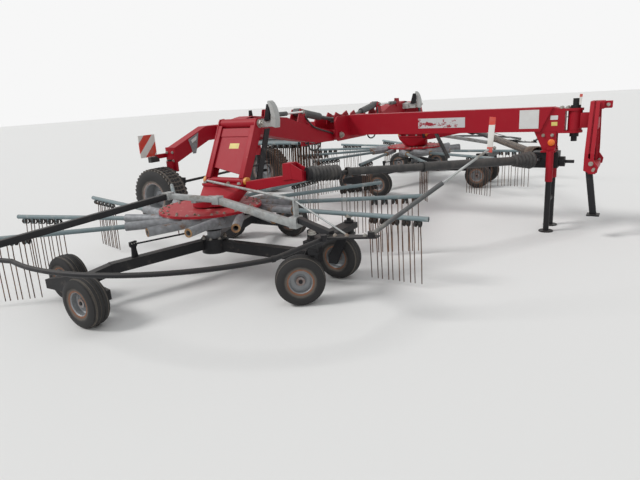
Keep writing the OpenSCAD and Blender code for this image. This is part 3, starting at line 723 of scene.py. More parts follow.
@dataclass
class Stage:
    """Pale floor, white surround and soft light."""

    floor_colour: Colour = (0.80, 0.79, 0.77)
    floor_size: float = 160.0
    sky: Colour = (0.94, 0.97, 1.0)
    white: Colour = (0.93, 0.93, 0.93)
    world_level: float = 0.52
    key_level: float = 1.7
    fill_level: float = 0.35

    def build(self) -> None:
        """Makes the floor, the world and the lamps."""
        self._floor()
        self._world()
        self._lamp("key", (math.radians(42), math.radians(-20), math.radians(-30)), self.key_level, 18)
        self._lamp("fill", (math.radians(55), 0, math.radians(40)), self.fill_level, 60)
        bpy.context.scene.view_settings.view_transform = "Standard"

    def _floor(self) -> None:
        """Adds the floor."""
        Workshop.deselect()
        bpy.ops.mesh.primitive_plane_add(size=self.floor_size)
        floor = Workshop.settle(bpy.context.object, "floor")
        graph = Graph("pale_floor")
        cloud = graph.noise(0.8, 4, 0.55)
        tone = graph.mix(cloud * 0.15, self.floor_colour, tuple(c * 0.95 for c in self.floor_colour))
        floor.data.materials.append(graph.finish({"Base Color": tone, "Roughness": 0.8}))

    def _world(self) -> None:
        """White to the camera and in reflections, plainer as a light."""
        world = bpy.data.worlds.new("surround")
        bpy.context.scene.world = world
        world.use_nodes = True
        tree = world.node_tree
        tree.nodes.clear()
        path = tree.nodes.new("ShaderNodeLightPath")
        seen = tree.nodes.new("ShaderNodeMath")
        seen.operation = "MAXIMUM"
        mix = tree.nodes.new("ShaderNodeMixShader")
        out = tree.nodes.new("ShaderNodeOutputWorld")
        for index, ray in enumerate(("Is Camera Ray", "Is Glossy Ray")):
            tree.links.new(path.outputs[ray], seen.inputs[index])
        tree.links.new(seen.outputs[0], mix.inputs[0])
        for index, (colour, level) in enumerate(((self.sky, self.world_level), (self.white, 1.0)), 1):
            surface = tree.nodes.new("ShaderNodeBackground")
            surface.inputs["Color"].default_value = (*colour, 1.0)
            surface.inputs["Strength"].default_value = level
            tree.links.new(surface.outputs[0], mix.inputs[index])
        tree.links.new(mix.outputs[0], out.inputs[0])

    @staticmethod
    def _lamp(name: str, turn: Point, level: float, spread: float) -> None:
        """A distant soft lamp."""
        Workshop.deselect()
        bpy.ops.object.light_add(type="SUN", rotation=turn)
        lamp = bpy.context.object
        lamp.name = name
        lamp.data.energy = level
        lamp.data.angle = math.radians(spread)


# Frame nodes


@dataclass(frozen=True)
class Region:
    """Faces of some nodes that get another finish than the rest.

    The corners are (x, y, z), and y counts outward from the machine's middle.
    """

    nodes: str
    look: Look
    low: Point
    high: Point
    ring: tuple[float, float] = (0.0, 99.0)

    def holds(self, point: Vector) -> bool:
        """Whether a face with this middle belongs to the region."""
        across = abs(point.y)
        inside = all(a <= v <= b for a, v, b in zip(self.low, (point.x, across, point.z), self.high))
        radius = math.hypot(point.x - ROTOR_X, across - ROTOR_Y)
        return inside and self.ring[0] <= radius <= self.ring[1]


EVERYWHERE = ((-9.0, -9.0, -9.0), (9.0, 9.0, 9.0))


class FrameFinishes:
    """Finishes of the nodes that stay as they are in the frame."""

    TABLE: tuple[tuple[Look, tuple[str, ...]], ...] = (
        (Look.RED, ("main_beam", "pivot_frame", "rear_beam", "rear_axle", "gearbox_bracket")),
        (Look.RED, ("headstock", "boom_", "fork_", "rotor_gearbox_")),
        (Look.RED_WORN, ("rotor_head_",)),
        (Look.BLACK, ("centre_gearbox", "swivel_pin", "stand_legs", "track_rod", "knuckle_")),
        (Look.BLACK, ("carriage_", "rockers_", "caster_", "guard_")),
        (Look.CAST, ("arm_bearings_", "drive_cross_")),
        (Look.RAM, ("cylinder_barrel_", "cylinder_rod_")),
        (Look.GUARD, ("shaft_",)),
        (Look.ARM, ("tine_arms_",)),
        (Look.TYRE, ("wheel_", "rear_wheel_")),
        (Look.BOARD, ("marker_boards",)),
    )
    REGIONS: tuple[Region, ...] = (
        Region("rotor_head_", Look.CAST, (-2.0, 1.0, 0.40), (2.0, 4.4, 0.6395)),
        Region("arm_bearings_", Look.BRASS, *EVERYWHERE, ring=(0.70, 0.90)),
        Region("pivot_frame", Look.CAST, (-0.092, -0.5, 1.05), (0.0, 0.5, 1.20)),
        Region("pivot_frame", Look.CAST, (-0.500, -0.5, 1.05), (-0.438, 0.5, 1.20)),
        Region("marker_boards", Look.LAMP, (-2.67, 1.115, 0.84), (-2.60, 1.5, 0.926)),
        Region("marker_boards", Look.RED, (-2.64, 0.95, 0.88), (-2.60, 1.115, 0.96)),
    )

    def dress(self) -> None:
        """Gives every CAD node its finish, and each region's faces theirs."""
        for look, names in self.TABLE:
            for item in nodes_named(*names):
                Workshop.paint(item, look)
        for region in self.REGIONS:
            for item in nodes_named(region.nodes):
                self._dress_region(item, region)

    @staticmethod
    def _dress_region(item: bpy.types.Object, region: Region) -> None:
        """Gives the faces in a region their own material."""
        item.data.materials.append(region.look.material())
        place = item.matrix_world
        for face in item.data.polygons:
            if region.holds(place @ face.center):
                face.material_index = len(item.data.materials) - 1


# Wheels


def both_flanks(flank: Outline, crown: Outline) -> Outline:
    """Outline of a section with two like flanks.

    Args:
        flank: Points (radius, place along the axle) of the flank on the low side, from the bore outward.
        crown: Points between the flanks.

    Returns:
        The whole outline.
    """
    return [*flank, *crown, *((radius, -along) for radius, along in reversed(flank))]


def fit_wheel(name: str, place: Matrix, tyre: bpy.types.Object, rim: bpy.types.Object, rubber: Look) -> None:
    """Puts a tyre and a rim in place of a wheel's node, which has its body's name."""
    for pattern, ending, look in ((tyre, "_tyre", rubber), (rim, "_rim", Look.RIM)):
        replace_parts(Workshop.put(pattern, name + ending, place, look, name), name)
    LOG.info("wheel %s", name)


@dataclass
class RotorWheel:
    """Ribbed small tyre on a silver rim."""

    radius: float = 0.203
    width: float = 0.165
    rim: float = 0.102
    groove: float = 0.007
    grooves: int = 4

    def tyre_outline(self) -> Outline:
        """Outline of the tyre's section, as (radius, place along the axle)."""
        half = self.width / 2
        tread = half - 0.022
        r, rim = self.radius, self.rim
        flank = [
            (rim - 0.004, -half + 0.016), (rim + 0.012, -half + 0.010), (rim + 0.035, -half + 0.001),
            (r - 0.060, -half), (r - 0.034, -half + 0.005), (r - 0.0145, -half + 0.014),
        ]
        ribs = []
        pitch = 2 * tread / self.grooves
        for rib in range(self.grooves + 1):
            centre = -tread + rib * pitch
            low, high = centre - pitch * 0.36, centre + pitch * 0.36
            top = r - 0.011 * (centre / tread) ** 2
            low, high = max(low, -tread - 0.004), min(high, tread + 0.004)
            foot = top - self.groove
            ribs += [(foot, low - 0.0025), (top, low), (top, high), (foot, high + 0.0025)]
        return both_flanks(flank, ribs)

    def rim_outline(self) -> Outline:
        """Outline of the rim's section with its dished disc and hub."""
        half = self.width / 2 - 0.010
        r = self.rim
        flank = [
            (r - 0.013, -half + 0.012), (r - 0.004, -half + 0.002), (r + 0.008, -half),
            (r + 0.008, -half + 0.008), (r - 0.002, -half + 0.014),
        ]
        return [
            (0.0165, -0.045), (0.036, -0.045), (0.038, -0.020), (0.050, -0.010), (0.080, -0.012),
            (r - 0.014, -0.020), *both_flanks(flank, [(r - 0.006, 0.0)]), (r - 0.014, -0.010),
            (0.080, -0.002), (0.050, 0.0), (0.038, 0.020), (0.036, 0.045), (0.0165, 0.045),
        ]

    def build(self) -> None:
        """Makes the pattern and copies it to each rotor wheel."""
        tyre = Workshop.lathe("tyre_pattern", self.tyre_outline(), 56)
        rim = Workshop.lathe("rim_pattern", self.rim_outline(), 40)
        Workshop.mark(tyre, "low", self._low)
        Workshop.mark(rim, "ring", self._ring)
        Workshop.smooth(tyre, 40)
        Workshop.smooth(rim, 35)
        for node in nodes_named("wheel_"):
            fit_wheel(node.name, self._place(node.name), tyre, rim, Look.TYRE)
        Workshop.discard(tyre, rim)

    def _place(self, name: str) -> Matrix:
        """Where a wheel stands, from its joint's place and axis."""
        joint = next(j for j in frame["joints"] if j["child"] == name)
        axis = Vector(joint["axis"])
        turn = Vector((0, 1, 0)).rotation_difference(axis).to_matrix().to_4x4()
        return Matrix.Translation(Vector(joint["pos_m"])) @ turn

    def _low(self, point: Vector) -> float:
        """1 in the tread's grooves and at the tyre's foot, else 0."""
        radius = math.hypot(point.x, point.z)
        in_groove = abs(point.y) < self.width / 2 - 0.02 and radius < self.radius - 0.005
        return 1.0 if in_groove or radius < self.rim + 0.02 else 0.0

    def _ring(self, point: Vector) -> float:
        """1 at the rim's edge and the hub's face, less between."""
        radius = math.hypot(point.x, point.z)
        if radius > self.rim - 0.006:
            return 0.75
        return 0.55 if radius < 0.05 else 0.12


@dataclass
class RearWheel:
    """Large tyre with block tread on a pale rim."""

    radius: float = 0.390
    width: float = 0.320
    rim: float = 0.195
    lug_height: float = 0.010
    lugs: int = 40

    def tyre_outline(self) -> Outline:
        """Outline of the carcass, as (radius, place along the axle)."""
        half = self.width / 2
        r, rim = self.radius - self.lug_height, self.rim
        flank = [
            (rim - 0.006, -half + 0.030), (rim + 0.015, -half + 0.018), (rim + 0.050, -half + 0.004),
            (rim + 0.100, -half), (r - 0.050, -half + 0.006), (r - 0.020, -half + 0.020),
            (r - 0.004, -half + 0.048), (r, -half + 0.085),
        ]
        return both_flanks(flank, [])

    def rim_outline(self) -> Outline:
        """Outline of the rim, its disc and its hub."""
        half = self.width / 2 - 0.016
        r = self.rim
        flank = [
            (r - 0.018, -half + 0.020), (r - 0.006, -half + 0.004), (r + 0.012, -half),
            (r + 0.012, -half + 0.012), (r - 0.004, -half + 0.022),
        ]
        return [
            (0.026, -0.060), (0.080, -0.060), (0.080, -0.022), (0.110, -0.014), (0.160, -0.018),
            (r - 0.020, -0.030), *both_flanks(flank, [(r - 0.012, 0.0)]), (r - 0.020, -0.016),
            (0.160, -0.004), (0.110, 0.0), (0.080, 0.008), (0.075, 0.030), (0.026, 0.030),
        ]

    def lug_pattern(self) -> bpy.types.Object:
        """A row of tread blocks across the tyre, slanted to each side."""
        step = 2 * math.pi * self.radius / self.lugs
        middle, outer = [(0.0, 0.036, 0.0)], ((0.055, 0.042, -0.12), (0.115, 0.050, -0.30))
        rows = [(-across, wide, -slant) for across, wide, slant in reversed(outer)] + middle + list(outer)
        blocks = []
        for across, wide, slant in rows:
            shoulder = abs(across) > 0.1
            drop = 0.010 if shoulder else 0.0
            size = (step * 0.62, wide, self.lug_height * 2.6)
            centre = (slant * across, across, self.radius - 0.014 - drop * 0.6)
            block = Workshop.block("lug", size, centre, 0.003)
            turns = [(slant, "Z", (0, across, self.radius))]
            if shoulder:
                tilt = math.copysign(0.32, -across)
                turns.append((tilt, "X", (0, across, self.radius - 0.01)))
            with Workshop.editing(block):
                for angle, axis, pivot in turns:
                    bpy.ops.transform.rotate(value=angle, orient_axis=axis, center_override=pivot)
            blocks.append(block)
        return Workshop.join(blocks, "lug_row")

    def build(self) -> None:
        """Makes both rear wheels."""
        carcass = Workshop.lathe("rear_carcass", self.tyre_outline(), 64)
        row = self.lug_pattern()
        rows = [carcass]
        for index in range(self.lugs):
            turn = Matrix.Rotation(2 * math.pi * index / self.lugs, 4, "Y")
            rows.append(Workshop.copy(row, "lug_row_%02d" % index, turn))
        tyre = Workshop.join(rows, "rear_tyre_pattern")
        rim = Workshop.lathe("rear_rim_pattern", self.rim_outline(), 48)
        Workshop.mark(tyre, "low", self._low)
        Workshop.mark(rim, "ring", self._ring)
        Workshop.smooth(tyre, 30)
        Workshop.smooth(rim, 35)
        for side in SIDES:
            name = "rear_wheel_" + side
            low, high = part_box(name)
            fit_wheel(name, Matrix.Translation((low + high) / 2) @ mirrored(side), tyre, rim, Look.TREAD)
        Workshop.discard(tyre, rim, row)

    def _low(self, point: Vector) -> float:
        """1 between the blocks and near the rim, else 0."""
        radius = math.hypot(point.x, point.z)
        between = abs(point.y) < 0.14 and radius < self.radius - 0.007
        return 1.0 if between or radius < self.rim + 0.04 else 0.0

    def _ring(self, point: Vector) -> float:
        """How rusty the rim is."""
        radius = math.hypot(point.x, point.z)
        return 0.6 if radius > self.rim - 0.008 else 0.15


# Rotors


@dataclass
class ArmRow:
    """Patterns of a tine arm: its tube, and the wires of its double tines.

    They lie along X with the tube's middle at height 0, from x = 0 to the tube's outer end.
    """

    length: float
    height: float = 0.600
    tip_z: float = 0.040
    tube_r: float = 0.021
    bar_len: float = 0.500
    sets: int = 5
    end_gap: float = 0.040
    wire_r: float = 0.0046
    coil_r: float = 0.023
    coil_z: float = -0.044
    coil_turns: float = 2.5
    coil_in: float = 0.0065
    coil_out: float = 0.030

    def set_places(self) -> list[float]:
        """Where the middles of the double tines are along the arm."""
        pitch = self.bar_len / self.sets
        return [self.length - self.end_gap - (index + 0.5) * pitch for index in range(self.sets)]

    def tine_points(self) -> list[tuple[float, float, float]]:
        """Centre line of one double tine: down one side, two coils, and down the other side."""
        steps = int(self.coil_turns * 12)
        coil = []
        for index in range(steps + 1):
            angle = 2 * math.pi * self.coil_turns * index / steps
            along = self.coil_out + (self.coil_in - self.coil_out) * index / steps
            coil.append((along, self.coil_r * math.cos(angle), self.coil_z + self.coil_r * math.sin(angle)))
        drop = self.tip_z - self.height
        out = self.coil_out
        leg = [(out, 0.0, drop), (out + 0.001, 0.007, drop * 0.6), (out, 0.014, self.coil_z - 0.110)]
        leg += [(out, 0.021, self.coil_z - 0.060), (out, self.coil_r, self.coil_z - 0.020)]
        half = leg + coil
        return half + [(-x, y, z) for x, y, z in reversed(half)]

    def tube(self) -> bpy.types.Object:
        """The tube with its end plug, and the clamp of each double tine."""
        end = self.length
        bars = (("tube", 0, self.tube_r), ("plug", end - 0.012, self.tube_r + 0.001))
        parts = [Workshop.tube(name, [(x, 0, 0), (end, 0, 0)], r, 18, smooth=False) for name, x, r in bars]
        for along in self.set_places():
            parts.append(Workshop.block("clamp", (0.010, 0.022, 0.046), (along, -0.012, -0.036), 0.002))
        return Workshop.join(parts, "tube_pattern")

    def wires(self) -> bpy.types.Object:
        """The wires of all double tines of the arm."""
        pattern = Workshop.tube("tine_pattern", self.tine_points(), self.wire_r, 6, smooth=False)
        spots = [Matrix.Translation((along, 0, 0)) for along in self.set_places()]
        wires = Workshop.join([Workshop.copy(pattern, "tines", spot) for spot in spots], "wire_pattern")
        Workshop.discard(pattern)
        wires.data.materials.append(Look.RUST.material())
        wires.data.materials.append(Look.COIL.material())
        for face in wires.data.polygons:
            face.material_index = 1 if face.center.z > self.coil_z - self.coil_r - 0.004 else 0
        return wires

    def hang(self, places: Sequence[Matrix], name: str, body: str, node: str) -> None:
        """Puts an arm at each place, as one piece of tubes and one of wires.

        Args:
            places: Where the arms are.
            name: Ending of the pieces' names.
            body: The body that they ride on.
            node: The CAD node that they replace, if any.
        """
        for pattern, start in ((self.tube(), "arm_tubes_"), (self.wires(), "arm_tines_")):
            piece = Workshop.join([Workshop.copy(pattern, "arm", place) for place in places], start + name)
            if start == "arm_tubes_":
                Workshop.paint(piece, Look.ARM)
            Workshop.discard(pattern)
            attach(Workshop.smooth(piece, 50), body)
            if node:
                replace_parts(piece, node)


@dataclass
class TineArms:
    """Tine arms of one rotor, with the places that are left open for the road."""

    side: str
    places: int = 13
    missing: tuple[int, ...] = (8, 9, 10, 11)
    turn: float = 27.7
    offset: float = 0.300
    height: float = 0.600
    inner: float = 0.260
    reach: float = 2.050

    def build(self) -> None:
        """Makes the arms."""
        middle = mirrored(self.side) @ Matrix.Translation((ROTOR_X, ROTOR_Y, self.height))
        out = Matrix.Translation((self.inner, -self.offset, 0))
        arms = [arm for arm in range(self.places) if arm not in self.missing]
        turns = [math.radians(-self.turn - arm * 360 / self.places) for arm in arms]
        spots = [middle @ Matrix.Rotation(turn, 4, "Z") @ out for turn in turns]
        row = ArmRow(self.reach - self.inner, self.height)
        row.hang(spots, self.side, "rotor_" + self.side, "tine_arms_" + self.side)
        LOG.info("tine arms %s", self.side)


@dataclass
class StowedArms:
    """Arms taken off for the road, hung in two racks under the rear beam."""

    length: float = 1.150
    height: float = 1.010
    ends: Outline = ((0.120, -0.370), (0.190, -0.450), (0.260, -0.410), (0.330, -0.490))
    racks: tuple[float, ...] = (-0.430, -1.480)
    beam_z: float = 1.0895

    def build(self) -> None:
        """Makes the arms and the racks."""
        spots = []
        for sign in (1, -1):
            for across, end in self.ends:
                spots.append(Matrix.Translation((end + ROTOR_X - self.length, sign * across, self.height)))
        ArmRow(self.length, 0.600, end_gap=0.090).hang(spots, "stowed", "frame", "")
        z = self.height
        outline = [
            (-0.365, z - 0.040), (0.365, z - 0.040), (0.365, z + 0.040), (0.110, self.beam_z),
            (-0.110, self.beam_z), (-0.365, z + 0.040),
        ]
        plate = Workshop.plate("rack_pattern", outline, 0.012)
        racks = [Workshop.copy(plate, "rack", Matrix.Translation((x + ROTOR_X, 0, 0))) for x in self.racks]
        Workshop.discard(plate)
        piece = Workshop.paint(Workshop.join(racks, "stowed_arm_racks"), Look.RED)
        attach(piece, "frame")
        LOG.info("stowed arms")


# Fabricated pieces


class Fabrication:
    """Bars, plates and boxes of one welded piece.

    Its drawing is in millimetres: x forward from the rotor axes, y outward from the machine's middle, z up.
    """

    def __init__(self, name: str, body: str, side: str = "") -> None:
        """Starts an empty piece that rides on a body, of one side or of the middle."""
        self.name = name + ("_" + side if side else "")
        self.body = body + ("_" + side if side and body != "frame" else "")
        self.mirror = Matrix.Diagonal((1, SIDES.get(side, 1), 1, 1))
        self.base = Matrix.Translation((ROTOR_X, 0, 0))
        self.parts: list[bpy.types.Object] = []

    def moved(self, x: float, y: float, z: float, tilt: float = 0.0) -> None:
        """Sets the origin of what follows, and its tilt about X in degrees."""
        shift = Matrix.Translation((ROTOR_X + x / 1000, y / 1000, z / 1000))
        self.base = shift @ Matrix.Rotation(math.radians(tilt), 4, "X")

    def add(self, item: bpy.types.Object, look: Look) -> None:
        """Keeps a part that is drawn in metres about the origin."""
        item.data.transform(self.base)
        self.parts.append(Workshop.paint(item, look))

    def line(self, look: Look, points: Sequence[Point], diameter: float, sides: int = 24) -> None:
        """A round bar along points."""
        path = [tuple(value / 1000 for value in point) for point in points]
        self.add(Workshop.tube("bar", path, diameter / 2000, sides, smooth=False), look)

    def square(self, look: Look, first: Point, last: Point, width: float) -> None:
        """A square tube between two points, with one face kept level."""
        a, b = Vector(first) / 1000, Vector(last) / 1000
        way = b - a
        item = Workshop.block("tube", (width / 1000, width / 1000, way.length), (0, 0, way.length / 2), 0.004)
        round_z = Matrix.Rotation(math.atan2(way.y, way.x), 4, "Z")
        round_y = Matrix.Rotation(math.acos(way.z / way.length), 4, "Y")
        item.data.transform(Matrix.Translation(a) @ (round_z @ round_y))
        self.add(item, look)

    def ring(
        self, look: Look, centre: Point, length: float, radii: tuple[float, float], upright: bool = False
    ) -> None:
        """A hollow cylinder along X, or upright, about its middle; radii are inner and outer."""
        half = length / 2000
        low, high = radii[0] / 1000, radii[1] / 1000
        item = Workshop.lathe("ring", [(low, -half), (high, -half), (high, half), (low, half)], 64)
        turn = Matrix.Rotation(math.pi / 2, 4, "X" if upright else "Z")
        item.data.transform(Matrix.Translation(Vector(centre) / 1000) @ turn)
        self.add(item, look)

    def across(self, look: Look, x: float, thickness: float, outline: Outline) -> None:
        """A plate in the YZ plane from an outline of (y, z)."""
        item = self._plate(outline, thickness)
        item.data.transform(Matrix.Translation((x / 1000, 0, 0)))
        self.add(item, look)

    def along(self, look: Look, y: float, thickness: float, outline: Outline) -> None:
        """A plate in the XZ plane from an outline of (x, z)."""
        item = self._plate(outline, thickness)
        item.data.transform(Matrix.Translation((0, y / 1000, 0)) @ Matrix.Rotation(-math.pi / 2, 4, "Z"))
        self.add(item, look)

    def box(self, look: Look, low: Point, size: Point, bevel: float = 0.003) -> None:
        """A box from its low corner and its size."""
        centre = [(a + b / 2) / 1000 for a, b in zip(low, size)]
        self.add(Workshop.block("box", [value / 1000 for value in size], centre, bevel), look)

    @staticmethod
    def _plate(outline: Outline, thickness: float) -> bpy.types.Object:
        """A plate about x = 0 with broken edges."""
        item = Workshop.plate("plate", [(a / 1000, b / 1000) for a, b in outline], thickness / 1000)
        with Workshop.editing(item):
            bpy.ops.mesh.bevel(offset=0.002, segments=1, affect="EDGES")
        return item

    def finish(self, node: str = "") -> bpy.types.Object:
        """Joins the parts, puts them on their body and replaces a CAD node.

        Args:
            node: The node's name, or nothing for an added piece.

        Returns:
            The piece.
        """
        joined = Workshop.join(self.parts, "drawn")
        piece = Workshop.copy(joined, self.name, self.mirror)
        Workshop.discard(joined)
        piece.name = piece.data.name = self.name
        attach(Workshop.smooth(piece, 30), self.body)
        if node:
            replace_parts(piece, node)
        return piece


@dataclass
class Boom:
    """Boom with its hinge barrel, cross tube, lugs and the lock hook."""

    side: str
    slot: float = 70.0

    def build(self) -> None:
        """Makes the boom."""
        fab = Fabrication("boom_weldment", "wing", self.side)
        top = [(2090, 1440), (2000, 1452), (1400, 1400), (1220, 1345), (760, 1240)]
        low = [(385, 1045), (760, 1060), (1180, 1125), (2020, 1285), (2090, 1310)]
        # The slot takes the cylinder lugs of the pivot frame when the boom is folded
        fab.across(Look.RED, 0, 2 * self.slot + 2, [*low, *top, (695, 1225), (695, 1155), (385, 1155)])
        for sign in (-1, 1):
            fab.across(Look.RED, sign * (self.slot + 10), 20, [*low, *top, (385, 1172)])
            fab.across(Look.RED, sign * 56, 14, [(890, 1230), (1180, 1290), (1082, 1472), (1018, 1472)])
        fab.ring(Look.RED, (0, 350, 1115), 278, (30.1, 65))
        fab.line(Look.RED, [(-170, 2160, 1385), (270, 2160, 1385)], 100, 40)
        fab.across(Look.RED, 0, 180, [(2000, 1300), (2160, 1335), (2160, 1430), (2000, 1450)])
        fab.line(Look.BOLT, [(-70, 1050, 1440), (70, 1050, 1440)], 40)
        for x in (40, 76):
            fab.across(Look.RED, x, 12, [(1690, 1415), (1800, 1415), (1775, 1505), (1710, 1505)])
        fab.across(Look.BLACK, -30, 14, [(1850, 1425), (1915, 1425), (1905, 1505), (1865, 1505)])
        self._hook(fab)
        fab.finish("boom_" + self.side)

    @staticmethod
    def _hook(fab: Fabrication) -> None:
        """Lock hook, its bracket and the small cylinder that lifts it."""
        fab.across(Look.HOOK, 140, 102, [(1900, 1330), (2010, 1340), (2010, 1425), (1900, 1410)])
        fab.across(Look.HOOK, 240, 120, [(1915, 1335), (1990, 1340), (1990, 1410), (1915, 1405)])
        fab.along(Look.HOOK, 1975, 80, [
            (300, 1350), (368, 1330), (376, 1400), (372, 1460), (352, 1530), (326, 1572), (300, 1592),
            (290, 1575), (312, 1520), (322, 1460), (316, 1400),
        ])
        fab.along(Look.BLACK, 1950, 110, [(225, 1400), (290, 1400), (300, 1560), (270, 1560)])
        fab.line(Look.BRIGHT, [(80, 1070, 1440), (80, 1420, 1440)], 24)
        fab.line(Look.RAM, [(80, 1400, 1440), (80, 1640, 1440)], 50)
        fab.box(Look.RED, (55, 1625, 1380), (50, 40, 80))


@dataclass
class Fork:
    """Sloping fork of two channel legs and a plate, from the boom's end down to the rotor gearbox."""

    side: str
    middle: float = 50.0
    half: float = 235.0
    tilt: float = 28.46

    def build(self) -> None:
        """Makes the fork and the black strut beside it."""
        fab = Fabrication("fork_weldment", "wing", self.side)
        half = self.half
        leg = [(2105, 1365), (2130, 1440), (2200, 1435), (2505, 850), (2395, 850)]
        for sign in (-1, 1):
            fab.moved(self.middle, 0, 0)
            fab.across(Look.RED, sign * (half - 7), 14, leg)
            fab.moved(self.middle, 2160, 1385, self.tilt)
            for edge in (48, -46):
                fab.box(Look.RED, (sign * (half - 29) - 27, edge - 5, -578), (54, 10, 538), 0.002)
            # Strip of worn red paint along the leg's edge: partly worn paint, partly a painted edge highlight
            fab.box(Look.RED_WORN, (sign * (half - 6) - 8, 53, -570), (15, 2, 520), 0.0005)
        wide = half - 10
        for y, thick, top, right, left in ((26, 12, -75, -545, -455), (22, 34, -62, -150, -150)):
            fab.along(Look.RED, y, thick, [(-wide, top), (wide, top), (wide, right), (-wide, left)])
        fab.moved(self.middle, 0, 0)
        fab.line(Look.RED, [(-half - 30, 2450, 870), (half + 30, 2450, 870)], 64, 32)
        fab.box(Look.RED, (-half - 5, 2370, 825), (2 * half + 10, 170, 26))
        fab.across(Look.BLACK, half + 24, 14, [(2030, 1330), (2110, 1330), (2330, 820), (2245, 820)])
        fab.finish("fork_" + self.side)


@dataclass
class RotorGearbox:
    """Funnel under the fork, input arm with its block, gussets and flange, and the post through the rotor."""

    side: str
    shaft: Point = (995, 2450, 955)
    way: Point = (-0.5466, 0.8355, 0.0570)

    def build(self) -> None:
        """Makes the gearbox."""
        fab = Fabrication("gearbox_housing", "wing", self.side)
        box = Workshop.block("funnel", (0.470, 0.150, 0.025), (0.050, 2.455, 0.8125), 0.003)
        foot = Workshop.tube("foot", [(0.050, 2.590, 0.680), (0.050, 2.590, 0.688)], 0.200, 40, smooth=False)
        funnel = Workshop.join([box, foot], "funnel")
        with Workshop.editing(funnel):
            bpy.ops.mesh.convex_hull()
        fab.add(funnel, Look.RED)
        fab.line(Look.RED, [(0, 2650, 675), (0, 2650, 725)], 330, 48)
        fab.line(Look.RED, [(0, 2650, 720), (0, 2650, 750)], 230, 40)
        fab.line(Look.CAST, [(0, 2650, 350), (0, 2650, 735)], 130, 36)
        fab.along(Look.RED, 2450, 90, [
            (170, 778), (392, 790), (975, 898), (975, 985), (803, 945), (340, 876), (325, 874), (322, 824),
            (170, 824),
        ])
        fab.along(Look.RED, 2450, 112, [(760, 900), (851, 915), (851, 1056), (765, 1050)])
        for sign in (-1, 1):
            fab.along(Look.RED, 2450 + sign * 48, 12, [(849, 1054), (969, 992), (969, 900), (849, 915)])
        start, way = Vector(self.shaft), Vector(self.way)
        fab.line(Look.BLACK, [start - 46 * way, start + 14 * way], 124, 40)
        fab.finish("rotor_gearbox_" + self.side)


@dataclass
class Guard:
    """Tube guard beside the rotor, its galvanised upper frame, front plate and marker rod."""

    side: str

    def build(self) -> None:
        """Makes the guard."""
        fab = Fabrication("guard_frame", "wing", self.side)
        fab.moved(0, 2650, 0)
        turns = [math.radians(104 - step * 72 / 24) for step in range(25)]
        hoop = [(260 + 1550 * math.cos(t), 330 + 1550 * math.sin(t), 650) for t in turns]
        rear, bend = (-480, 1880, 650), hoop[-1]
        fab.line(Look.BLACK, [rear, (-310, 1868, 650), *hoop, (1650, 480, 650)], 34, 20)
        fab.line(Look.BLACK, [(bend[0] - 8, bend[1] + 8, 650), (bend[0] + 4, bend[1] - 10, 650)], 42)
        fab.line(Look.BLACK, [(1650, 670, 644), (1650, 670, 688)], 44)
        fab.line(Look.BLACK, [(*rear[:2], 632), (*rear[:2], 745)], 70, 28)
        self._plate(fab)
        fab.square(Look.BLACK, (1260, 380, 700), (1650, 560, 665), 46)
        fab.square(Look.BLACK, (-455, 1880, 705), (0, 500, 850), 50)
        fab.square(Look.GALVANISED, (0, 500, 850), (400, 330, 800), 46)
        fab.square(Look.GALVANISED, (400, 330, 800), (1230, 380, 660), 56)
        for low, size in (
            ((-36, 464, 818), (72, 72, 64)), ((362, 292, 766), (76, 76, 68)),
            ((1196, 330, 636), (68, 100, 90)), ((1222, 340, 700), (16, 60, 160)),
        ):
            fab.box(Look.GALVANISED, low, size)
        fab.line(Look.GALVANISED, [(-150, -150, 870), (1230, 370, 850)], 24, 16)
        fab.square(Look.GALVANISED, (200, 415, 800), (80, 85, 750), 44)
        fab.box(Look.GALVANISED, (45, 45, 735), (62, 62, 36))
        fab.line(Look.GALVANISED, [(1234, 380, 845), (1770, 530, 652)], 14, 12)
        self._marker(fab)
        fab.finish("guard_" + self.side)

    @staticmethod
    def _plate(fab: Fabrication) -> None:
        """Flat front plate."""
        corners = [(1610, 660), (1610, 540), (1970, 450), (1970, 510)]
        item = Workshop.plate("plate", [(x / 1000, y / 1000) for x, y in corners], 0.012)
        flat = Matrix(((0, 1, 0, 0), (0, 0, 1, 0), (1, 0, 0, 0), (0, 0, 0, 1)))
        item.data.transform(Matrix.Translation((0, 0, 0.652)) @ flat)
        fab.add(item, Look.BLACK)

    @staticmethod
    def _marker(fab: Fabrication) -> None:
        """Slanting marker rod with its faded strip."""
        low, high = Vector((1930, 500, 670)), Vector((2600, 90, 1200))
        fab.line(Look.BLACK, [low - Vector((0, 0, 18)), low + Vector((0, 0, 22))], 52, 28)
        fab.line(Look.RAM, [low, low.lerp(high, 0.62)], 32, 18)
        fab.line(Look.GALVANISED, [low.lerp(high, 0.6), high], 16, 14)
        fab.along(Look.BOARD, 90, 6, [(2588, 1185), (2624, 1180), (2642, 1405), (2602, 1410)])


@dataclass
class HeightRods:
    """Toothed posts on the carriage's side beams, with rods to a ring on the rotor's post."""

    side: str

    def build(self) -> None:
        """Makes the posts, the rods and the ring."""
        fab = Fabrication("height_rods", "wing", self.side)
        fab.moved(0, 2650, 0)
        fab.ring(Look.BLACK, (0, 0, 445), 36, (65.5, 86), upright=True)
        post = [
            (700, 322), (762, 322), (750, 420), (768, 440), (768, 478), (696, 478), (696, 440), (712, 420),
        ]
        for sign in (-1, 1):
            fab.across(Look.BLACK, -271, 26, [(sign * y, z) for y, z in post])
            fab.line(Look.BLACK, [(-271, sign * 715, 450), (-28, sign * 78, 445)], 16, 12)
            for y in (708, 732, 756):
                fab.line(Look.BOLT, [(-259, sign * y, 463), (-252, sign * y, 463)], 12, 10)
        fab.finish()


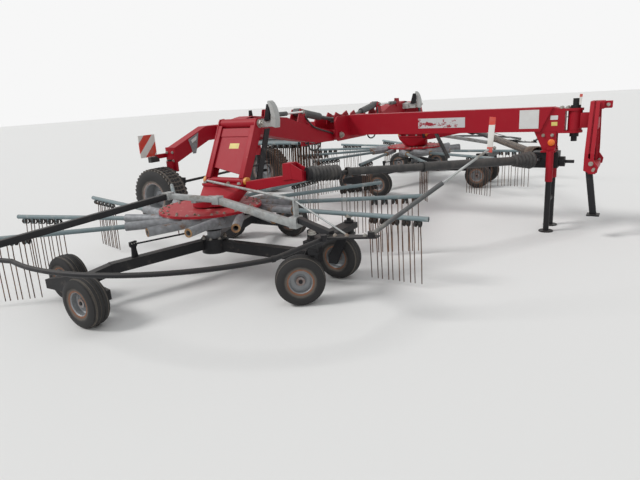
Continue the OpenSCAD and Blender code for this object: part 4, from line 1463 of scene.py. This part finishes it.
@dataclass
class Headstock:
    """Headstock with flanged legs, lug plates, lower tube and a black support foot."""

    leg_out: float = 387.5

    def build(self) -> None:
        """Makes the headstock."""
        fab = Fabrication("headstock_weldment", "headstock")
        fab.ring(Look.RED, (2830, 0, 1197.5), 203, (30.1, 70), upright=True)
        for low, size in (
            ((2885, -60, 1120), (105, 120, 155)), ((2975, -110, 1310), (125, 220, 80)),
            ((2975, -130, 1110), (50, 260, 240)), ((2975, -130, 1110), (85, 260, 110)),
        ):
            fab.box(Look.RED, low, size)
        out = self.leg_out
        foot = out - 95
        web = [(60, 1390), (130, 1390), (out, 890), (out, 720), (foot, 720), (foot, 870)]
        flange = [(118, 1390), (130, 1390), (out, 890), (out, 720), (out - 14, 720), (out - 14, 887)]
        back = [(60, 1390), (72, 1390), (out - 81, 873), (out - 81, 720), (foot, 720), (foot, 870)]
        for sign in (-1, 1):
            for thick, outline in ((22, web), (90, flange), (60, back)):
                fab.across(Look.RED, 3020, thick, [(sign * y, z) for y, z in outline])
            for y in (out - 16, 384.5):
                fab.along(Look.RED, sign * y, 16, [
                    (2975, 720), (3050, 685), (3100, 700), (3108, 755), (3070, 810), (2975, 870),
                ])
            fab.line(Look.BOLT, [(3070, sign * 322, 740), (3070, sign * 502, 740)], 28)
            fab.along(Look.RED, sign * 45, 16, [(3090, 1315), (3170, 1315), (3170, 1385), (3090, 1385)])
            fab.line(Look.BOLT, [(3135, sign * 36, 1350), (3135, sign * 58, 1350)], 36)
        fab.box(Look.RED, (3015, -352, 680), (70, 704, 60))
        fab.square(Look.BLACK, (3010, -290, 780), (3090, -290, 250), 62)
        fab.box(Look.BLACK, (3030, -350, 242), (120, 120, 16))
        fab.finish("headstock")


# Drive shafts


@dataclass
class DriveShaft:
    """Guarded drive shaft from the centre gearbox to a rotor, with a rubber bellows at each end."""

    side: str
    start: Point = (2.215, 0.180, 0.800)
    end: Point = (0.730, 2.450, 0.955)
    tube_r: float = 0.045
    collar_r: float = 0.066

    @staticmethod
    def bellows(name: str, first: Point, last: Point, folds: int) -> bpy.types.Object:
        """A hollow rubber bellows about the Y axis.

        Args:
            name: The piece's name.
            first: (radius, place) of one end.
            last: (radius, place) of the other end.
            folds: Number of folds.

        Returns:
            The bellows.
        """
        outer = []
        for index in range(2 * folds + 1):
            share = index / (2 * folds)
            wave = 0.006 if index % 2 else -0.004
            radius, along = (a + (b - a) * share for a, b in zip(first, last))
            outer.append((radius + wave, along))
        inner = [(radius - 0.003, along) for radius, along in reversed(outer)]
        return Workshop.lathe(name, outer + inner, 40)

    @staticmethod
    def sleeve(first: float, last: float, radius: float) -> bpy.types.Object:
        """A guard tube with a raised collar at each end."""
        rim = radius + 0.006
        outline = [
            (radius - 0.004, first), (rim, first), (rim, first + 0.03), (radius, first + 0.034),
            (radius, last - 0.034), (rim, last - 0.03), (rim, last), (radius - 0.004, last),
        ]
        return Workshop.lathe("sleeve", outline, 36)

    def build(self) -> None:
        """Makes the guards of both halves and the bellows on the rotor gearbox."""
        a, b = Vector(self.start), Vector(self.end)
        length = (b - a).length
        turn = Vector((0, 1, 0)).rotation_difference((b - a).normalized()).to_matrix().to_4x4()
        place = mirrored(self.side) @ Matrix.Translation(a) @ turn
        cone = self.bellows("cone", (0.092, 0.065), (0.052, 0.330), 6)
        inner = [cone, self.sleeve(0.080, 1.500, self.tube_r)]
        outer = [
            self.sleeve(0.900, length - 0.380, self.tube_r - 0.009),
            Workshop.tube("shaft", [(0, length - 0.400, 0), (0, length - 0.130, 0)], 0.015, 16, smooth=False),
        ]
        collar = self.collar_r
        boot = [self.bellows("boot", (collar - 0.001, length - 0.300), (collar, length - 0.020), 8)]
        rows = ((inner, "shaft_inner_", "shaft_guard_inner_"), (outer, "shaft_outer_", "shaft_guard_outer_"))
        for parts, body, name in (*rows, (boot, "wing_", "shaft_boot_")):
            pattern = Workshop.join(parts, "shaft_pattern")
            worn = self.side == "left" and body == "shaft_inner_"
            item = Workshop.put(
                pattern, name + self.side, place, Look.TAN if worn else Look.GUARD, body + self.side, 40
            )
            Workshop.discard(pattern)
            if body == "shaft_outer_":
                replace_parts(item, body + self.side)
        LOG.info("drive shaft %s", self.side)


# Bolts


@dataclass(frozen=True)
class BoltRow:
    """Bolts of one size on one body; places are (x, y outward, z), and the heads point as face says."""

    body: str
    face: str
    size: float
    places: Places


def ring_of(count: int, radius: float, height: float, first: float = 0.0) -> Places:
    """Places on a circle about the rotor's axis."""
    turns = [math.radians(first + 360 * index / count) for index in range(count)]
    return tuple((ROTOR_X + radius * math.cos(t), ROTOR_Y + radius * math.sin(t), height) for t in turns)


class Bolts:
    """Bolt heads and pin ends all over the machine."""

    FUNNEL: Places = tuple((x, y, 0.851) for x in (-0.425, -0.300, -0.130, 0.000) for y in (2.388, 2.524))
    AXLE_END: Places = tuple((x, 0.9905, z) for x in (-2.58, -2.47) for z in (0.84, 0.96))
    FACES = {
        "+z": (0, 0, 1), "+x": (1, 0, 0), "-x": (-1, 0, 0), "+y": (0, 1, 0), "-y": (0, -1, 0),
    }
    MIRRORED: tuple[BoltRow, ...] = (
        BoltRow("wing", "+z", 0.018, FUNNEL),
        BoltRow("wing", "+x", 0.036, ((0.0205, 2.160, 1.385),)),
        BoltRow("wing", "-x", 0.036, ((-0.4505, 2.160, 1.385),)),
        BoltRow("wing", "+x", 0.016, ((-0.0735, 1.925, 1.365), (-0.0735, 1.985, 1.37))),
        BoltRow("wing", "+x", 0.016, ((0.0355, 1.935, 1.37),)),
        BoltRow("wing", "+z", 0.016, ring_of(8, 0.108, 0.350, 22.5)),
        BoltRow("wing", "+x", 0.022, ((-0.195, 1.05, 1.440),)),
        BoltRow("wing", "-y", 0.014, ((0.540, 2.394, 1.02), (0.540, 2.394, 0.95), (0.640, 2.396, 0.95))),
        BoltRow("wing", "+z", 0.014, ((1.50, 3.20, 0.658), (1.62, 3.16, 0.658), (1.42, 3.225, 0.658))),
        BoltRow("wing", "+y", 0.034, ((-0.665, 3.930, 0.248),)),
        BoltRow("rotor", "+z", 0.012, ring_of(26, 0.455, 0.662, 5.0) + ring_of(13, 0.405, 0.662, 12.0)),
        BoltRow("frame", "+x", 0.034, ((-0.090, 0.350, 1.115),)),
        BoltRow("frame", "-x", 0.034, ((-0.440, 0.350, 1.115),)),
        BoltRow("frame", "+x", 0.026, ((-0.200, 0.220, 1.300),)),
        BoltRow("frame", "+y", 0.016, ((2.36, 0.0775, 0.89), (2.27, 0.0775, 1.05), (2.36, 0.0775, 1.05))),
        BoltRow("frame", "+y", 0.018, AXLE_END),
        BoltRow("frame", "+z", 0.020, ((2.43, 0.055, 1.3255), (2.49, 0.055, 1.3255))),
        BoltRow("headstock", "+y", 0.020, ((2.775, 0.3925, 0.79),)),
        BoltRow("caster_inner", "+z", 0.030, ((1.055, 2.345, 0.5705),)),
        BoltRow("caster_outer", "+z", 0.030, ((1.055, 2.955, 0.5705),)),
    )

    def build(self) -> None:
        """Makes the bolts, joined by body."""
        found: dict[str, list[bpy.types.Object]] = {}
        for row in self.MIRRORED:
            pattern = Workshop.bolt("bolt", row.size)
            turn = Vector((0, 0, 1)).rotation_difference(Vector(self.FACES[row.face])).to_matrix().to_4x4()
            for side in SIDES:
                for point in row.places:
                    place = mirrored(side) @ Matrix.Translation(point) @ turn
                    bolts = found.setdefault(body_on(row.body, side), [])
                    bolts.append(Workshop.copy(pattern, "bolt", place))
            Workshop.discard(pattern)
        for body, items in found.items():
            piece = Workshop.paint(Workshop.join(items, "bolts_" + body), Look.BOLT)
            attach(Workshop.smooth(piece, 30), body)
        LOG.info("bolts on %d bodies", len(found))


# Trim


@dataclass(frozen=True)
class Plaque:
    """A thin bare plate or label; its middle, size and tilt about X are those on the left side."""

    name: str
    body: str
    look: Look
    centre: Point
    size: Point
    sides: tuple[str, ...] = ("left", "right")
    tilt: float = 0.0


class Trim:
    """Labels, reflectors, lamps and caps, all without words."""

    PLAQUES: tuple[Plaque, ...] = (
        Plaque("square_label", "frame", Look.LABEL, (2.120, 0.1008, 1.225), (0.200, 0.0016, 0.200)),
        Plaque("torn_label", "frame", Look.TORN, (1.135, 0.1008, 1.212), (0.570, 0.0016, 0.115)),
        Plaque("type_plate", "frame", Look.LABEL, (2.370, 0.0808, 1.235), (0.075, 0.0016, 0.045), ("right",)),
        Plaque(
            "small_label", "frame", Look.YELLOW, (2.375, 0.0808, 1.170), (0.060, 0.0016, 0.040), ("right",)
        ),
        Plaque("fork_label", "wing", Look.YELLOW, (-0.198, 2.304, 1.185), (0.120, 0.0016, 0.055), tilt=28.46),
    )

    reflector_at: Point = (2.355, 0.077, 0.972)
    reflector_r: float = 0.036
    cap_ends: tuple[float, float] = (-0.4815, 0.0225)
    cap_length: float = 0.028
    cap_r: float = 0.038
    lens_size: Point = (0.014, 0.056, 0.056)

    def build(self) -> None:
        """Makes all trim."""
        for plaque in self.PLAQUES:
            self._plaque(plaque)
        self._strap()
        for side in SIDES:
            for make in (self._reflector, self._caps, self._lamps, self._bracket):
                make(side)
        LOG.info("trim")

    @staticmethod
    def _plaque(plaque: Plaque) -> None:
        """Makes a plaque on each of its sides."""
        turn = Matrix.Rotation(math.radians(plaque.tilt), 4, "X")
        for side in plaque.sides:
            pattern = Workshop.block(plaque.name, plaque.size, (0, 0, 0), 0.0005)
            place = mirrored(side) @ Matrix.Translation(plaque.centre) @ turn
            name = "%s_%s" % (plaque.name, side)
            Workshop.put(pattern, name, place, plaque.look, body_on(plaque.body, side))
            Workshop.discard(pattern)

    def _reflector(self, side: str) -> None:
        """Round orange reflector on the gearbox bracket, facing outward."""
        r = self.reflector_r
        outline = [(0.0, 0.0), (r, 0.0), (r, 0.006), (r * 0.9, 0.009), (0.0, 0.011)]
        pattern = Workshop.lathe("lens", outline, 32)
        place = mirrored(side) @ Matrix.Translation(self.reflector_at)
        Workshop.put(pattern, "reflector_" + side, place, Look.ORANGE, "frame", 40)
        Workshop.discard(pattern)

    def _caps(self, side: str) -> None:
        """Amber caps on both ends of the fork's cross shaft."""
        caps = []
        for x in self.cap_ends:
            ends = [(x, 2.450, 0.870), (x + self.cap_length, 2.450, 0.870)]
            cap = Workshop.tube("cap", ends, self.cap_r, 28, smooth=False)
            caps.append(Workshop.copy(cap, "cap", mirrored(side)))
            Workshop.discard(cap)
        piece = Workshop.paint(Workshop.join(caps, "fork_caps_" + side), Look.AMBER)
        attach(Workshop.smooth(piece, 40), "wing_" + side)

    @staticmethod
    def _strap() -> None:
        """Black rubber strap under the beam that steadies the drive shafts."""
        fab = Fabrication("shaft_strap", "frame")
        fab.line(Look.GUARD, [(1330, -75, 1091), (1375, -72, 1000), (1480, -60, 790)], 44, 20)
        for share in range(8):
            spot = Vector((1378, -72, 990)).lerp(Vector((1470, -61, 810)), share / 7)
            fab.line(Look.GUARD, [spot, spot + Vector((4, 0, -9))], 52, 20)
        fab.finish()

    @staticmethod
    def _bracket(side: str) -> None:
        """Grey folded bracket with a bare label, on the rear arm."""
        fab = Fabrication("rear_bracket", "frame", side)
        sheet = [(470, 1195), (690, 1110), (650, 1000), (625, 900), (560, 900), (520, 1010)]
        fab.across(Look.CAST, -2171, 6, sheet)
        fab.across(Look.LABEL, -2167, 3, [(515, 1150), (640, 1098), (620, 1055), (530, 1095)])
        fab.finish()

    def _lamps(self, side: str) -> None:
        """Lenses on the rear lamp box."""
        for name, look, y in (("tail_lens_", Look.REDLENS, 1.160), ("turn_lens_", Look.ORANGE, 1.230)):
            pattern = Workshop.block("lens", self.lens_size, (-2.667, y, 0.888), 0.005)
            Workshop.put(pattern, name + side, mirrored(side), look, "frame", 40)
            Workshop.discard(pattern)


# Hoses


class Hoses:
    """Hydraulic hoses of the lift cylinders: clipped to the boom, and hung in a loop under it."""

    radius: float = 0.010
    CLIPPED: tuple[Point, ...] = (
        (-0.205, 1.000, 1.395), (-0.180, 0.960, 1.330), (-0.164, 0.900, 1.270), (-0.163, 0.780, 1.228),
        (-0.163, 0.650, 1.195), (-0.163, 0.520, 1.165), (-0.163, 0.430, 1.140),
    )
    LOOP: Outline = (
        (0.940, 1.101), (0.941, 1.067), (0.935, 1.034), (0.915, 1.005), (0.883, 0.984), (0.843, 0.972),
        (0.800, 0.968), (0.757, 0.972), (0.717, 0.984), (0.685, 1.005), (0.665, 1.030), (0.658, 1.054),
        (0.657, 1.072),
    )
    loop_x: float = -0.215

    def build(self) -> None:
        """Makes the hoses of both sides."""
        for side, sign in SIDES.items():
            path = [(self.loop_x, sign * y, z) for y, z in self.LOOP]
            loop = Workshop.tube("hose_loop_" + side, path, self.radius, 10, smooth=False)
            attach(Workshop.smooth(Workshop.paint(loop, Look.HOSE), 60), "wing_" + side)
        for side, sign in SIDES.items():
            points = [(x, sign * y, z) for x, y, z in self.CLIPPED]
            hose = Workshop.tube("boom_hose_" + side, points, self.radius, 10)
            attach(Workshop.smooth(Workshop.paint(hose, Look.HOSE), 60), "wing_" + side)
        LOG.info("hoses")


# Assembly


class HayRake:
    """The whole machine."""

    def build(self) -> None:
        """Dresses every sub-assembly, the free hoses first."""
        Hoses().build()
        FrameFinishes().dress()
        RotorWheel().build()
        RearWheel().build()
        StowedArms().build()
        Headstock().build()
        for side in SIDES:
            for kind in (Boom, Fork, RotorGearbox, Guard, HeightRods, TineArms, DriveShaft):
                kind(side).build()
        Bolts().build()
        Trim().build()


def main() -> None:
    """Builds the scene."""
    logging.basicConfig(level=logging.INFO, format="%(message)s")
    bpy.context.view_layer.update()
    Viewpoint().build()
    Stage().build()
    HayRake().build()


if __name__ == "__main__":
    main()
